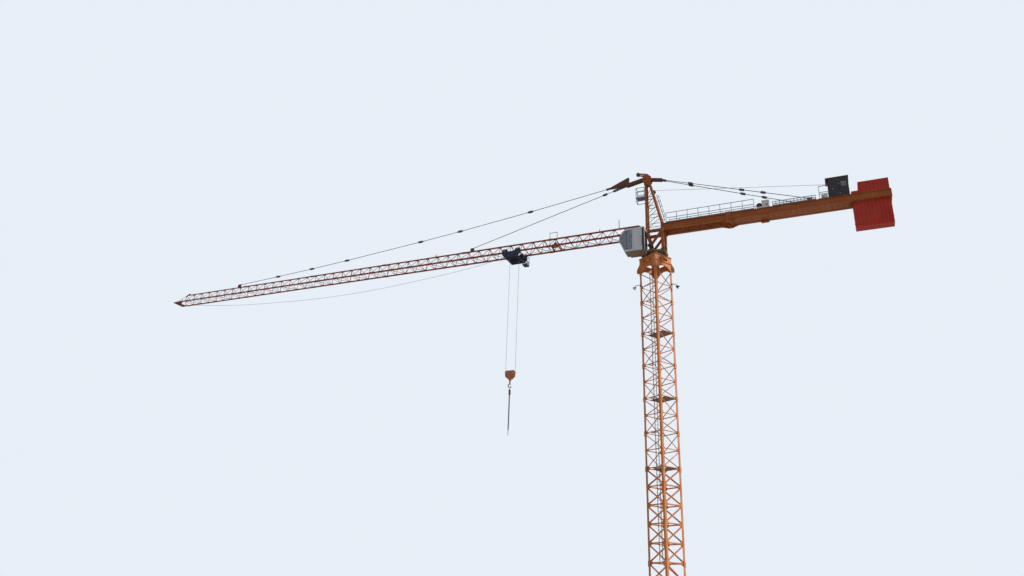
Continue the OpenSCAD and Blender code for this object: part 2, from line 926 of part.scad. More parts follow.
// Level of the hoist rope along the jib, just under its bottom lacing
rope_z = jib_z - 11;
root_x = 106;
root_z = rope_z + sheave_r + seat;
axle_d = 6;
module root_axle() {
  cross_pin(root_x, root_z, axle_d, jib_w);
  for (s = [-1, 1])
    block(root_x, s * jib_w / 2, jib_z, [18, 10, root_z - jib_z + 6]);
}

module root_sheave() {
  color(dark)
    sheave(root_x, root_z);
}

// Ties of the jib: round bars with couplings, sagging a little under their own weight
long_tie_end = jib_end - 890;
long_sag = 50;
long_stations = [1280, 2090, 2570, 3520, 4000, 4480];
tie_low = jib_h + 34;
long_fork = 36;
short_fork = 92;
function long_tie_z(x) =
  let (t = (x - lever_end.x) / (long_tie_end - lever_end.x))
    lever_end.y + (tie_low - lever_end.y) * t - 4 * long_sag * t * (1 - t);
function tie_point(x) = [x, long_tie_z(x)];

module tie_bar(p, q) {
  bar([p.x, 0, jib_z + p.y], [q.x, 0, jib_z + q.y], tie_d, 8);
}

module tie_coupling(p, q, len) {
  v = unit(q - p) * len / 2;
  a = p - v;
  b = p + v;
  bar([a.x, 0, jib_z + a.y], [b.x, 0, jib_z + b.y], tie_d * 2.2, 8);
}

module tie_fork(p, q, len) {
  v = unit(q - p) * len;
  for (s = [-1, 1])
    link_plate(p, p + v, 16, 4, s * (plate_t / 2 + 2 + seat), bore_d);
  translate([p.x + v.x, 0, jib_z + p.y + v.y])
    rotate([0, -atan2(v.y, v.x), 0])
      translate([4, -plate_t / 2 - 5 - seat, -9])
        cube([12, plate_t + 10 + 2 * seat, 18]);
}

module tie_shoe(x, drop) {
  z = jib_z + jib_h + chord_at(floor((x - jib_start) / section_len)) / 2;
  translate([x - 20, -6, z])
    cube([40, 12, drop - (z - jib_z) + 4]);
}

module tie_run(points) {
  for (i = [0:len(points) - 2])
    tie_bar(points[i], points[i + 1]);
}

module long_tie() {
  stations = [for (x = long_stations) tie_point(x)];
  v = unit(stations[0] - lever_end) * (long_fork + 6);
  color("firebrick") {
    tie_fork(lever_end, stations[0], long_fork);
    tie_run(concat([lever_end + v], stations, [[long_tie_end, tie_low]]));
    for (i = [0:len(stations) - 2])
      tie_coupling(stations[i], stations[i + 1], 66);
    tie_coupling(stations[5], [long_tie_end, tie_low], 66);
    tie_shoe(long_tie_end, tie_low);
  }
}

short_tie_end = 1930;
module short_tie() {
  end = [short_tie_end, jib_h + 34];
  v = unit(end - link_end);
  color("firebrick") {
    tie_fork(link_end, end, short_fork);
    tie_run([link_end + v * (short_fork + 6), end]);
    for (d = [130, 240])
      tie_coupling(link_end + v * d, end, 50);
    tie_shoe(short_tie_end, end.y);
  }
}

// Two rear ties from the rear links down to the girders
// The winch house, its platform and the feet of the rear ties keep their distance from the counter-jib's end
winch_x = 486 - counter_len;
deck_end = winch_x + 80;
rear_tie_x = winch_x + 160;
rear_stations = [0.19, 0.555, 0.70];
module rear_ties() {
  a = [rear_link_end.x, rear_link_end.y];
  color("firebrick")
    for (s = [-1, 1]) {
      p = [a.x - 36, s * 8, jib_z + a.y - 13];
      q = [rear_tie_x, s * girder_y, jib_z + girder_top + 26];
      bar(p, q, tie_d, 8);
      for (u = rear_stations) {
        c = p + (q - p) * u;
        v = unit(q - p) * 25;
        bar(c - v, c + v, tie_d * 2.2, 8);
      }
      link_plate(a, a - [40, 15], 16, 5, s * 8, bore_d);
      block(rear_tie_x, s * girder_y, jib_z + girder_top, [44, 12, 32]);
    }
}

// Counter-jib: two I-girders, open and laced near the mast, decked behind the splice
splice_x = -700;
girder_x = column_x - strut_w / 2 - seat;
girder_t = 4;
module girder(x0, x1, y) {
  z = jib_z + girder_top - girder_h;
  translate([x1, y - girder_t / 2, z])
    cube([x0 - x1, girder_t, girder_h]);
  for (dz = [0, girder_h - girder_t])
    translate([x1, y - girder_w / 2, z + dz])
      cube([x0 - x1, girder_w, girder_t]);
}

module counter_jib_inner() {
  z = jib_z + girder_top - girder_h / 2;
  bays = 6;
  bay = (girder_x - splice_x) / bays;
  color(orange) {
    for (s = [-1, 1]) {
      girder(girder_x, splice_x, s * girder_y);
      translate([splice_x, s * girder_y - girder_w / 2, jib_z + girder_top - girder_h - 20])
        cube([26, girder_w, girder_h + 34]);
    }
    for (i = [0:bays - 1]) {
      x = girder_x - i * bay;
      odd = i % 2 == 0 ? 1 : -1;
      bar([x - 8, -girder_y, z], [x - 8, girder_y, z], 10, 4);
      bar([x - 8, -odd * girder_y, z], [x - bay + 8, odd * girder_y, z], 10, 4);
    }
  }
}

weights_start = counter_len - slab_count * slab_pitch - 12;
module counter_jib_outer() {
  x1 = -counter_len;
  z = jib_z + girder_top - girder_h;
  color(orange) {
    for (s = [-1, 1]) {
      girder(splice_x, x1, s * girder_y);
      translate([splice_x - 26, s * girder_y - girder_w / 2, z - 20])
        cube([26, girder_w, girder_h + 34]);
      translate([splice_x - 340, s * girder_y - girder_w / 2, z - 14])
        cube([70, girder_w, 16]);
    }
    translate([-weights_start + 20, -girder_y, z + girder_t])
      cube([weights_start - 20 + splice_x, girder_gap, 3]);
    for (x = [x1, -weights_start + 4])
      translate([x, -girder_y, z + 4])
        cube([12, girder_gap, girder_h - 8]);
  }
}

// Walkway railings on both girders, higher on the inner part and low along the deck
module railing(x0, x1, y, h, bays) {
  z = jib_z + girder_top;
  t = 4;
  for (i = [0:bays])
    block(x0 + (x1 - x0) * i / bays, y, z, [t, t, h]);
  for (k = [0.5, 1])
    translate([x1, y - t / 2, z + h * k - t])
      cube([x0 - x1, t, t]);
}

cabinet_x = -1010;
module counter_jib_cabinet() {
  z = jib_z + girder_top;
  color("whitesmoke") {
    for (y = [-1, 1] * girder_y)
      block(cabinet_x, y, z, [110, 12, 10]);
    translate([cabinet_x - 55, -girder_y - 6, z + 10])
      cube([110, girder_gap + 12, 6]);
    translate([cabinet_x - 48, -10, z + 16])
      cube([60, 60, 66]);
    cross_pin(cabinet_x + 36, z + 42, 52, 44, 20);
  }
}

module winch_platform() {
  z = jib_z + girder_top;
  x1 = winch_x + seat;
  translate([x1, -girder_y - 10, z])
    cube([deck_end - x1, girder_gap + 20, 5]);
  for (s = [-1, 1], x = [x1 + 2, deck_end - 2])
    block(x, s * (girder_y + 8), z + 5, [4, 4, 120]);
  for (s = [-1, 1], h = [60, 121])
    translate([x1, s * (girder_y + 8) - 2, z + h])
      cube([deck_end - x1, 4, 4]);
  for (h = [60, 121])
    translate([deck_end - 4, -girder_y - 8, z + h])
      cube([4, girder_gap + 16, 4]);
}

module walkways() {
  color("slategray") {
    for (s = [-1, 1]) {
      railing(girder_x - 30, cabinet_x + 80, s * (girder_y + 6), 104, 8);
      railing(cabinet_x - 80, deck_end + 30, s * (girder_y + 10), 46, 12);
    }
    winch_platform();
  }
}

house_len = 166;
house_h = 190;
module winch_house() {
  z = jib_z + girder_top;
  color("darkslategray")
    difference() {
      translate([winch_x - house_len, -girder_y, z])
        cube([house_len, girder_gap, house_h]);
      translate([winch_x - 12, -14, rope_out_z - 15])
        cube([13, 28, 36]);
    }
  color("saddlebrown")
    translate([winch_x - house_len - 6, -girder_y - 6, z + house_h])
      cube([house_len + 24, girder_gap + 12, 8]);
}

// Counterweight slabs hang on the girders by their shoulders
module counterweights() {
  low = -243;
  neck = girder_gap - girder_w - 6;
  gap = 1.5;
  color("firebrick")
    for (i = [0:slab_count - 1]) {
      top = i < 2 ? 84 : 165;
      x = -weights_start - slab_pitch * (i + 1);
      translate([x, 0, jib_z])
        rotate([90, 0, 90])
          linear_extrude(slab_pitch - gap)
            polygon([
              [-neck / 2, low], [neck / 2, low], [neck / 2, girder_top + seat],
              [girder_y + 12, girder_top + seat], [girder_y + 12, top], [-girder_y - 12, top],
              [-girder_y - 12, girder_top + seat], [-neck / 2, girder_top + seat]
            ]);
    }
}

// Hoist rope: winch house to head sheave, down to the root sheave and along the jib
head_sheave_z = head_h - 160;
head_sheave_x = round(rear_leg(0, head_sheave_z).x - cat_leg_w * 0.4);
module head_sheave() {
  color(dark)
    sheave(head_sheave_x, jib_z + head_sheave_z);
}

rope_out_z = jib_z + girder_top + house_h - 25;
module hoist_rope() {
  r = sheave_r + seat;
  c = [head_sheave_x, jib_z + head_sheave_z];
  root = [root_x, root_z];
  start = [winch_x - 12 + seat, rope_out_z];
  rise = heading(c + [0, r] - start);
  fall = heading([root.x - c.x, c.y - root.y]) + asin(2 * r / norm(root - c));
  route = concat([start], arc_points(c, r, 90 + rise, 90 - fall, 10), arc_points(root, r, 270 - fall, 270, 6));
  color(rope_colour)
    cord_tube([for (p = route) [p.x, 0, p.y]], rope_d);
}

// Run of the hoist rope under the jib, from the root sheave to the trolley
module jib_rope() {
  color(rope_colour)
    bar([root_x + seat, 0, rope_z], [trolley_x - trolley_sheave_x, 0, rope_z], rope_d, 8);
}

// Smooth line through a route's points, with a few rings between two of them
ring_steps = 4;
function route_point(route, k, u) =
  let (n = len(route) - 1,
    a = route[max(k - 1, 0)], b = route[k], c = route[min(k + 1, n)], d = route[min(k + 2, n)])
    0.5 * (2 * b + (c - a) * u + (2 * a - 5 * b + 4 * c - d) * u * u + (3 * b - a - 3 * c + d) * u * u * u);
function smooth_route(route) = [
  for (k = [0:len(route) - 2], j = [0:ring_steps - 1]) route_point(route, k, j / ring_steps),
  route[len(route) - 1]
];

// Round cord swept along points of a vertical plane, closed at both ends
module cord_tube(points, d, sides = 8) {
  n = len(points);
  function along(i) = unit(points[min(i + 1, n - 1)] - points[max(i - 1, 0)]);
  ring = [for (i = [0:n - 1], k = [0:sides - 1])
    let (t = along(i), a = 360 * k / sides, up = [-t.z, 0, t.x])
      points[i] + d / 2 * (up * cos(a) + [0, 1, 0] * sin(a))];
  sides_faces = [for (i = [0:n - 2], k = [0:sides - 1])
    let (m = (k + 1) % sides) [i * sides + k, i * sides + m, (i + 1) * sides + m, (i + 1) * sides + k]];
  ends = [[for (k = [sides - 1:-1:0]) k], [for (k = [0:sides - 1]) (n - 1) * sides + k]];
  polyhedron(ring, concat(sides_faces, ends), convexity = 6);
}

// Slack rope from the jib tip to the trolley: its route, measured from the bottom chords
slack_route = [
  [5970, 0, -7], [5900, 0, -16], [5750, 0, -38], [5450, 0, -78], [5000, 0, -126], [4500, 0, -160], [4000, 0, -182],
  [3550, 0, -188], [3100, 0, -176], [2800, 0, -158], [2400, 0, -128], [2100, 0, -100], [1850, 0, -70],
  [1700, 0, -44], [1600, 0, -25], [1510, 0, -11]
];
module dead_end_rope() {
  color(rope_colour)
    translate([0, 0, jib_z])
      cord_tube(smooth_route(slack_route), rope_d);
}

// Trolley: side plates with wheels on the rails, cross beams and two sheaves
trolley_half = 100;
axle_x = 70;
wheel_z = jib_z + rail_t / 2 + wheel_r + seat;
wheel_y = jib_w / 2 + chord_w / 2 + 9;
wheel_w = 7;
side_y = jib_w / 2 + chord_w / 2 + rail_w + 7;
fall_x = fall_gap / 2;
trolley_sheave_x = fall_x + sheave_r + seat;
trolley_sheave_z = rope_z - sheave_r - seat;

end_beam_z = jib_z - 30;
module trolley_side(s) {
  translate([trolley_x, s * side_y + 2, 0])
    rotate([90, 0, 0])
      linear_extrude(4)
        polygon([
          [-trolley_half, end_beam_z], [-trolley_half, jib_z + 14], [-trolley_half + 14, jib_z + 26],
          [-48, jib_z + 26], [-34, jib_z - 2], [34, jib_z - 2], [48, jib_z + 26],
          [trolley_half - 14, jib_z + 26], [trolley_half, jib_z + 14], [trolley_half, end_beam_z],
          [72, jib_z - 66], [-72, jib_z - 66]
        ]);
}

beam_z = trolley_sheave_z - 14;
module trolley_frame() {
  color("midnightblue") {
    for (s = [-1, 1]) {
      trolley_side(s);
      for (dx = [-axle_x, axle_x])
        cross_pin(trolley_x + dx, wheel_z, axle_d - 1, side_y - wheel_y + 4, s * (side_y + wheel_y - 4) / 2);
      translate([trolley_x - trolley_half + 1, s * 14 - 3, beam_z])
        cube([2 * trolley_half - 2, 6, 20]);
    }
    for (dx = [-trolley_half, trolley_half - 6])
      translate([trolley_x + dx, -side_y, end_beam_z])
        cube([6, 2 * side_y, 10]);
    for (dx = [-72, 62])
      translate([trolley_x + dx, -side_y, jib_z - 66])
        cube([10, 2 * side_y, 6]);
    for (dx = [-1, 1] * trolley_sheave_x)
      cross_pin(trolley_x + dx, trolley_sheave_z, axle_d, 30);
  }
}

module trolley_sheave(dx) {
  color(dark)
    sheave(trolley_x + dx, trolley_sheave_z);
}

module trolley_wheels(dx) {
  color(dark)
    for (s = [-1, 1])
      difference() {
        cross_pin(trolley_x + dx, wheel_z, 2 * wheel_r, wheel_w, s * wheel_y);
        cross_pin(trolley_x + dx, wheel_z, axle_d - 1 + 2 * bearing_gap, wheel_w + 2, s * wheel_y);
      }
}

// Maintenance basket on the inner end of the trolley
basket_len = 50;
module trolley_basket() {
  x0 = trolley_x - trolley_half - seat - basket_len;
  y = 32;
  z = jib_z - 147;
  h = 96;
  t = 3;
  color("silver") {
    translate([x0, -y, z])
      cube([basket_len, 2 * y, t]);
    for (dx = [0, basket_len - t], s = [-1, 1])
      block(x0 + t / 2 + dx, s * (y - t / 2), z, [t, t, dx > 0 ? end_beam_z + 10 - z : h]);
    for (k = [0.5, 1], s = [-1, 1])
      translate([x0, s * (y - t / 2) - t / 2, z + h * k - t])
        cube([basket_len, t, t]);
    for (k = [0.5, 1], dx = [0, basket_len - t])
      translate([x0 + dx, -y, z + h * k - t])
        cube([t, 2 * y, t]);
  }
}

// Hook block: two cheeks around two sheaves
block_top = jib_z - block_drop;
block_sheave_x = fall_x - sheave_r - seat;
block_sheave_z = block_top - 24;
cheek_y = 10;
cheek_t = 5;

module hoist_falls() {
  color(rope_colour)
    for (dx = [-1, 1] * fall_x)
      translate([trolley_x + dx, 0, block_sheave_z])
        cylinder(h = trolley_sheave_z - block_sheave_z, d = rope_d, $fn = 8);
}

module block_frame() {
  color(red_orange) {
    for (s = [-1, 1])
      translate([trolley_x, s * cheek_y + cheek_t / 2, block_top])
        rotate([90, 0, 0])
          linear_extrude(cheek_t)
            polygon([[-52, -18], [-40, 0], [40, 0], [52, -18], [46, -60], [18, -86], [-18, -86], [-46, -60]]);
    block(trolley_x, 0, block_top - 86, [30, 2 * cheek_y, 22]);
    for (dx = [-1, 1] * block_sheave_x)
      cross_pin(trolley_x + dx, block_sheave_z, axle_d, 2 * cheek_y + cheek_t + 4);
  }
}

module block_sheave(dx) {
  color(dark)
    sheave(trolley_x + dx, block_sheave_z);
}

// Swivel hook under the block, open towards the mast
hook_r = 17;
hook_t = 10;
hook_z = block_top - 150;
block_low = block_top - 86;
mouth = 240;
module swivel_hook() {
  tip = mouth - 90;
  color(dark)
    translate([trolley_x, 0, 0]) {
      translate([0, 0, block_low - seat - 13])
        cylinder(h = 13, d = 24, $fn = 48);
      translate([0, 0, hook_z + hook_r])
        cylinder(h = block_low - 10 - hook_z - hook_r, d = hook_t + 4, $fn = 32);
      translate([0, 0, hook_z])
        rotate([90, 0, 0])
          rotate([0, 0, -tip])
            rotate_extrude(angle = mouth, $fn = 64)
              translate([hook_r, 0])
                circle(d = hook_t, $fn = 32);
    }
}

// Lifting sling: a ring in the hook, a head, the hanging sling and its end fitting
link_r = 13;
link_t = 4;
sling_d = 12;
sling_top = hook_z - hook_r + hook_t / 2 + seat + link_t - 2 * link_r - link_t / 2;
head_len = 46;
sling_route = [[0, 0, 0], [0, 0, -60], [0, 0, -130], [0, 0, -200], [0, 0, -270], [0, 0, -340]];
module sling_fittings() {
  ring_z = sling_top - link_t / 2 + link_r + link_t / 2;
  low = sling_top - head_len + sling_route[len(sling_route) - 1].z;
  color("slategray")
    translate([trolley_x, 0, 0]) {
      translate([0, 0, ring_z])
        rotate([0, 90, 0])
          rotate_extrude($fn = 64)
            translate([link_r, 0])
              circle(d = link_t, $fn = 24);
      translate([0, 0, sling_top - head_len])
        cylinder(h = head_len + link_t / 2, d = 17, $fn = 32);
      translate([0, 0, low - 50])
        cylinder(h = 50, d = 9, $fn = 32);
    }
}

module sling() {
  color("steelblue")
    translate([trolley_x, 0, sling_top - head_len])
      cord_tube(sling_route, sling_d, 12);
}

foundation_frame();
base_section();
heavy_section();
mast_section(0);  // mast_section_1
mast_section(1);  // mast_section_2
mast_section(2);  // mast_section_3
mast_section(3);  // mast_section_4
mast_section(4);  // mast_section_5
top_section();
mast_access();
slewing_support();
slewing_ring();
floodlights();
turntable();
slewing_motors();
slewing_tower();
cathead();
apex_head();
apex_pulley();
head_links();
head_access();
cab_shell();
cab_glazing();
cab_platform();
jib_section(0);  // jib_section_1
jib_section(1);  // jib_section_2
jib_section(2);  // jib_section_3
jib_section(3);  // jib_section_4
jib_section(4);  // jib_section_5
jib_section(5);  // jib_section_6
jib_tip();
jib_fittings();
trolley_winch();
long_tie();
short_tie();
rear_ties();
counter_jib_inner();
counter_jib_outer();
walkways();
counter_jib_cabinet();
winch_house();
counterweights();
head_sheave();
root_sheave();
hoist_rope();
jib_rope();
dead_end_rope();
trolley_frame();
trolley_basket();
trolley_wheels(-axle_x);  // trolley_wheels_in
trolley_wheels(axle_x);  // trolley_wheels_out
trolley_sheave(-trolley_sheave_x);  // trolley_sheave_in
trolley_sheave(trolley_sheave_x);  // trolley_sheave_out
hoist_falls();
block_frame();
block_sheave(-block_sheave_x);  // block_sheave_in
block_sheave(block_sheave_x);  // block_sheave_out
swivel_hook();
sling_fittings();
sling();
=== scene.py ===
"""Looks of the tower crane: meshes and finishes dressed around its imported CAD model."""

import logging
import math
from collections.abc import Iterable, Sequence
from dataclasses import dataclass, field
from enum import Enum

import bmesh
import bpy
from mathutils import Matrix, Vector


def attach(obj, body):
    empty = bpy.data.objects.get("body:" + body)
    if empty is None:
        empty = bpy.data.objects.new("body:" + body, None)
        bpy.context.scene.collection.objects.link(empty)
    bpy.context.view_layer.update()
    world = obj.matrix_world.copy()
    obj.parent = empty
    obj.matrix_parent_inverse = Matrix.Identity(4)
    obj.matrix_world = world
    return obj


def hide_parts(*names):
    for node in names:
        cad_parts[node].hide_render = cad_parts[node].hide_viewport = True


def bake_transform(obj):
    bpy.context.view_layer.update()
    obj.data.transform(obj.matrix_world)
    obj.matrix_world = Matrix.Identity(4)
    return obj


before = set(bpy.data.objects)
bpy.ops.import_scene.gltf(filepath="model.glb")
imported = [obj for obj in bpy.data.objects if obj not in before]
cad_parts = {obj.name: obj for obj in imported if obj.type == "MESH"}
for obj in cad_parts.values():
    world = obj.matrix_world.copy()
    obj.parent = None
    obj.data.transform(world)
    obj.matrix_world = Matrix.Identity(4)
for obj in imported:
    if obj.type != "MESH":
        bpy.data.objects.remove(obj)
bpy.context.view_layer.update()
LOG = logging.getLogger("tower_crane")
Colour = tuple[float, float, float]
Point = Sequence[float]

SIDES = (-1, 1)
MAST_TURN = math.radians(-32.1)
MAST_W = 0.206
BASE_TOP = 0.450
HEAVY_TOP = 1.200
MAST_TOP = 3.000
SUPPORT_TOP = 3.145
TURNTABLE_Z = 3.1854
TOWER_Z = 3.2104
JIB_Z = 3.4104
JIB_START = 0.080
JIB_W = 0.135
JIB_H = 0.105
JIB_SECTIONS = 6
SECTION_LEN = 5.860 / JIB_SECTIONS
PANELS = 8
PANEL = SECTION_LEN / PANELS
JIB_END = JIB_START + JIB_SECTIONS * SECTION_LEN
TIP_PULLEY_X = JIB_END + 0.030
GIRDER_Y = 0.065
DECK_Z = JIB_Z + 0.060
TROLLEY_X = 1.440
TROLLEY_WINCH_X = 0.9545
PULL_ROPE_Z = JIB_Z + 0.016
PULL_ROPE_R = 0.0008
ROPE_Z = JIB_Z - 0.011
SHEAVE_R = 0.0193
ROPE_D = 0.003
BLOCK_TOP = JIB_Z - 1.230
BLOCK_AXLE_Z = BLOCK_TOP - 0.024
BLOCK_SHEAVE_X = 0.0307
HOOK_Z = BLOCK_TOP - 0.150
POINT_R = 1e-5
SMOOTH_ANGLE = 32.0
BEVEL_ANGLE = 40.0


class Body(Enum):
    """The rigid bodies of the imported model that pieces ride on."""

    MAST = "mast"
    UPPER = "upper"
    TROLLEY = "trolley"
    BLOCK = "hook_block"
    HOOK = "hook"


class Axis(Enum):
    """Directions along which round parts are laid."""

    X = "X"
    Y = "Y"
    Z = "Z"

    def turn(self) -> Matrix:
        """Rotation that brings +Z onto this axis."""
        if self is Axis.X:
            return Matrix.Rotation(math.pi / 2, 4, "Y")
        if self is Axis.Y:
            return Matrix.Rotation(-math.pi / 2, 4, "X")
        return Matrix.Identity(4)


def connect(tree: bpy.types.NodeTree, slot: bpy.types.NodeSocket, item: object) -> None:
    """Give a node's input a link or a value.

    Args:
        tree: the node tree that holds the slot.
        slot: the input.
        item: a Value, a number, or a colour or vector.
    """
    if isinstance(item, Value):
        tree.links.new(item.socket, slot)
    elif slot.type == "RGBA":
        slot.default_value = (*item, 1.0)
    else:
        slot.default_value = item


@dataclass
class Value:
    """A shader output that takes part in Python expressions; an expression adds its Math nodes."""

    tree: bpy.types.NodeTree
    socket: bpy.types.NodeSocket

    def _math(self, operation: str, *items: object) -> "Value":
        """Add a Math node.

        Args:
            operation: the node's operation.
            items: its inputs, in order.

        Returns:
            The node's output.
        """
        node = self.tree.nodes.new("ShaderNodeMath")
        node.operation = operation
        for slot, item in zip(node.inputs, items):
            connect(self.tree, slot, item)
        return Value(self.tree, node.outputs[0])

    def __add__(self, other: object) -> "Value":
        """Sum."""
        return self._math("ADD", self, other)

    def __radd__(self, other: object) -> "Value":
        """Sum with a number on the left."""
        return self._math("ADD", other, self)

    def __sub__(self, other: object) -> "Value":
        """Difference."""
        return self._math("SUBTRACT", self, other)

    def __rsub__(self, other: object) -> "Value":
        """Difference from a number."""
        return self._math("SUBTRACT", other, self)

    def __mul__(self, other: object) -> "Value":
        """Product."""
        return self._math("MULTIPLY", self, other)

    def __rmul__(self, other: object) -> "Value":
        """Product with a number on the left."""
        return self._math("MULTIPLY", other, self)

    def __pow__(self, other: object) -> "Value":
        """Power."""
        return self._math("POWER", self, other)

    def __abs__(self) -> "Value":
        """Size without its sign."""
        return self._math("ABSOLUTE", self)

    def sine(self) -> "Value":
        """Sine."""
        return self._math("SINE", self)

    def clipped(self, low: float, high: float) -> "Value":
        """This value kept between two numbers."""
        return self._math("MAXIMUM", self._math("MINIMUM", self, high), low)


@dataclass
class Shader:
    """A material under construction."""

    name: str
    material: bpy.types.Material = field(init=False)
    tree: bpy.types.NodeTree = field(init=False)

    def __post_init__(self) -> None:
        """Create the material with an empty tree."""
        self.material = bpy.data.materials.new(self.name)
        self.material.use_nodes = True
        self.tree = self.material.node_tree
        self.tree.nodes.clear()

    def node(self, kind: str, settings: dict[str, object] | None = None, output: int | str = 0,
             **values: object) -> Value:
        """Add any node.

        Args:
            kind: the node's type without its "ShaderNode" prefix.
            settings: attributes that are set before the inputs.
            output: the output that is returned.
            values: names of inputs, with _ for a space or iN for input N, and their values or links.

        Returns:
            The chosen output.
        """
        node = self.tree.nodes.new("ShaderNode" + kind)
        for key, setting in (settings or {}).items():
            setattr(node, key, setting)
        for key, value in values.items():
            place = int(key[1:]) if key[1:].isdigit() else key.replace("_", " ")
            connect(self.tree, node.inputs[place], value)
        return Value(self.tree, node.outputs[output])

    def place(self, stretch: Point = (1, 1, 1)) -> Value:
        """Object coordinates, multiplied axis by axis."""
        local = self.node("TexCoord", output="Object")
        return self.node("Mapping", Vector=local, Scale=tuple(stretch))

    def axes(self) -> list[Value]:
        """The three object coordinates as values."""
        local = self.node("TexCoord", output="Object")
        split = self.tree.nodes.new("ShaderNodeSeparateXYZ")
        connect(self.tree, split.inputs[0], local)
        return [Value(self.tree, output) for output in split.outputs]

    def noise(self, scale: float, stretch: Point = (1, 1, 1), detail: float = 3.0) -> Value:
        """Noise over the surface.

        Args:
            scale: features per metre.
            stretch: factor for each axis, small along streaks.
            detail: octaves.

        Returns:
            A value near 0.5.
        """
        return self.node("TexNoise", Vector=self.place(stretch), Scale=scale, Detail=detail)

    def step(self, value: Value, low: float, high: float) -> Value:
        """Smooth step from 0 at low to 1 at high."""
        return self.node("MapRange", {"interpolation_type": "SMOOTHSTEP"}, Value=value,
                         From_Min=low, From_Max=high)

    def mix(self, factor: object, first: object, second: object) -> Value:
        """Mix of two colours by a factor."""
        return self.node("Mix", {"data_type": "RGBA"}, 2, i0=factor, i6=first, i7=second)

    def bump(self, height: Value, strength: float, distance: float) -> Value:
        """Normal raised by a height.

        Args:
            height: the height field.
            strength: share of it that shows.
            distance: depth in metres.

        Returns:
            The normal.
        """
        return self.node("Bump", Height=height, Strength=strength, Distance=distance)

    def surface(self, **values: object) -> bpy.types.Material:
        """Close the material with a Principled BSDF whose inputs are given by name."""
        shader = self.node("BsdfPrincipled", **values)
        output = self.tree.nodes.new("ShaderNodeOutputMaterial")
        connect(self.tree, output.inputs["Surface"], shader)
        return self.material


RUST: Colour = (0.105, 0.036, 0.015)
GRIME: Colour = (0.075, 0.062, 0.050)


@dataclass(frozen=True)
class Paint:
    """Painted steel that has stood outdoors: faded patches, streaks of grime, chips and rust."""

    name: str
    colour: Colour
    faded: Colour
    rust: float = 0.6
    grime: float = 0.4
    rough: float = 0.52

    def make(self) -> bpy.types.Material:
        """Build the material."""
        s = Shader(self.name)
        fine = s.noise(150.0, detail=2.0)
        chalk = s.step(s.noise(8.0, detail=4.0), 0.38, 0.70)
        chips = s.step(s.noise(230.0, detail=5.0), 0.63, 0.68) * s.step(s.noise(13.0), 0.47, 0.60)
        runs = s.step(s.noise(150.0, (1, 1, 0.05), 3.0), 0.60, 0.74) * s.step(s.noise(17.0), 0.45, 0.62)
        streaks = s.step(s.noise(75.0, (1, 1, 0.06), 4.0), 0.48, 0.74)
        rust = (chips + runs * 0.55).clipped(0.0, 1.0) * self.rust
        colour = s.mix(chalk * 0.75 + fine * 0.2, self.colour, self.faded)
        colour = s.mix(streaks * self.grime, colour, GRIME)
        colour = s.mix(rust, colour, RUST)
        rough = (self.rough + chalk * 0.12 + rust * 0.3 + fine * 0.06).clipped(0.0, 1.0)
        return s.surface(Base_Color=colour, Roughness=rough, Specular_IOR_Level=0.2,
                         Normal=s.bump(fine - chips * 0.8, 0.5, 0.0003))


@dataclass(frozen=True)
class Zinc:
    """Galvanised steel with its crystal pattern and dull white bloom."""

    name: str
    colour: Colour
    rough: float = 0.48

    def make(self) -> bpy.types.Material:
        """Build the material."""
        s = Shader(self.name)
        crystals = s.node("TexVoronoi", {"feature": "F1"}, "Color", Vector=s.place(), Scale=160.0)
        grey = s.node("RGBToBW", Color=crystals)
        bloom = s.step(s.noise(24.0, detail=4.0), 0.45, 0.70)
        stains = s.step(s.noise(90.0, (1, 1, 0.08), 3.0), 0.55, 0.75)
        dark = tuple(0.72 * c for c in self.colour)
        colour = s.mix(grey * 0.5, self.colour, dark)
        colour = s.mix(bloom * 0.35, colour, (0.62, 0.62, 0.60))
        colour = s.mix(stains * 0.35, colour, GRIME)
        rough = (self.rough + grey * 0.12 + bloom * 0.15).clipped(0.0, 1.0)
        return s.surface(Base_Color=colour, Roughness=rough, Metallic=0.55,
                         Normal=s.bump(s.noise(300.0), 0.3, 0.0002))


@dataclass(frozen=True)
class GreasedSteel:
    """Bare working steel, oiled and dusty, brighter where it is rubbed."""

    name: str
    colour: Colour
    dust: Colour
    metallic: float = 0.7

    def make(self) -> bpy.types.Material:
        """Build the material."""
        s = Shader(self.name)
        smear = s.step(s.noise(60.0, detail=5.0), 0.42, 0.68)
        grain = s.noise(420.0, detail=2.0)
        colour = s.mix(smear * 0.7, self.colour, self.dust)
        rough = (0.34 + smear * 0.34 + grain * 0.1).clipped(0.0, 1.0)
        metallic = (self.metallic - smear * 0.4).clipped(0.0, 1.0)
        return s.surface(Base_Color=colour, Roughness=rough, Metallic=metallic,
                         Normal=s.bump(grain, 0.35, 0.0002))


@dataclass(frozen=True)
class WireRope:
    """Laid strands of a greased wire rope, with painted shade darkening the grooves between them."""

    name: str
    colour: Colour
    pitch: float = 0.0034

    def make(self) -> bpy.types.Material:
        """Build the material."""
        s = Shader(self.name)
        x, y, z = s.axes()
        strands_and_groove_shade = abs(((x + z + y * 1.6) * (math.pi / self.pitch)).sine())
        grease = s.step(s.noise(45.0, detail=4.0), 0.40, 0.70)
        # Painted shade: the grooves between the strands take the rope's colour darkened to 0.35, the crowns
        # keep it; the same pattern raises the strands in the bump.
        dark = tuple(0.35 * c for c in self.colour)
        colour = s.mix(strands_and_groove_shade, dark, self.colour)
        colour = s.mix(grease * 0.5, colour, (0.045, 0.040, 0.036))
        return s.surface(Base_Color=colour, Roughness=(0.38 + grease * 0.3).clipped(0.0, 1.0),
                         Metallic=0.6, Normal=s.bump(strands_and_groove_shade, 0.8, 0.0004))


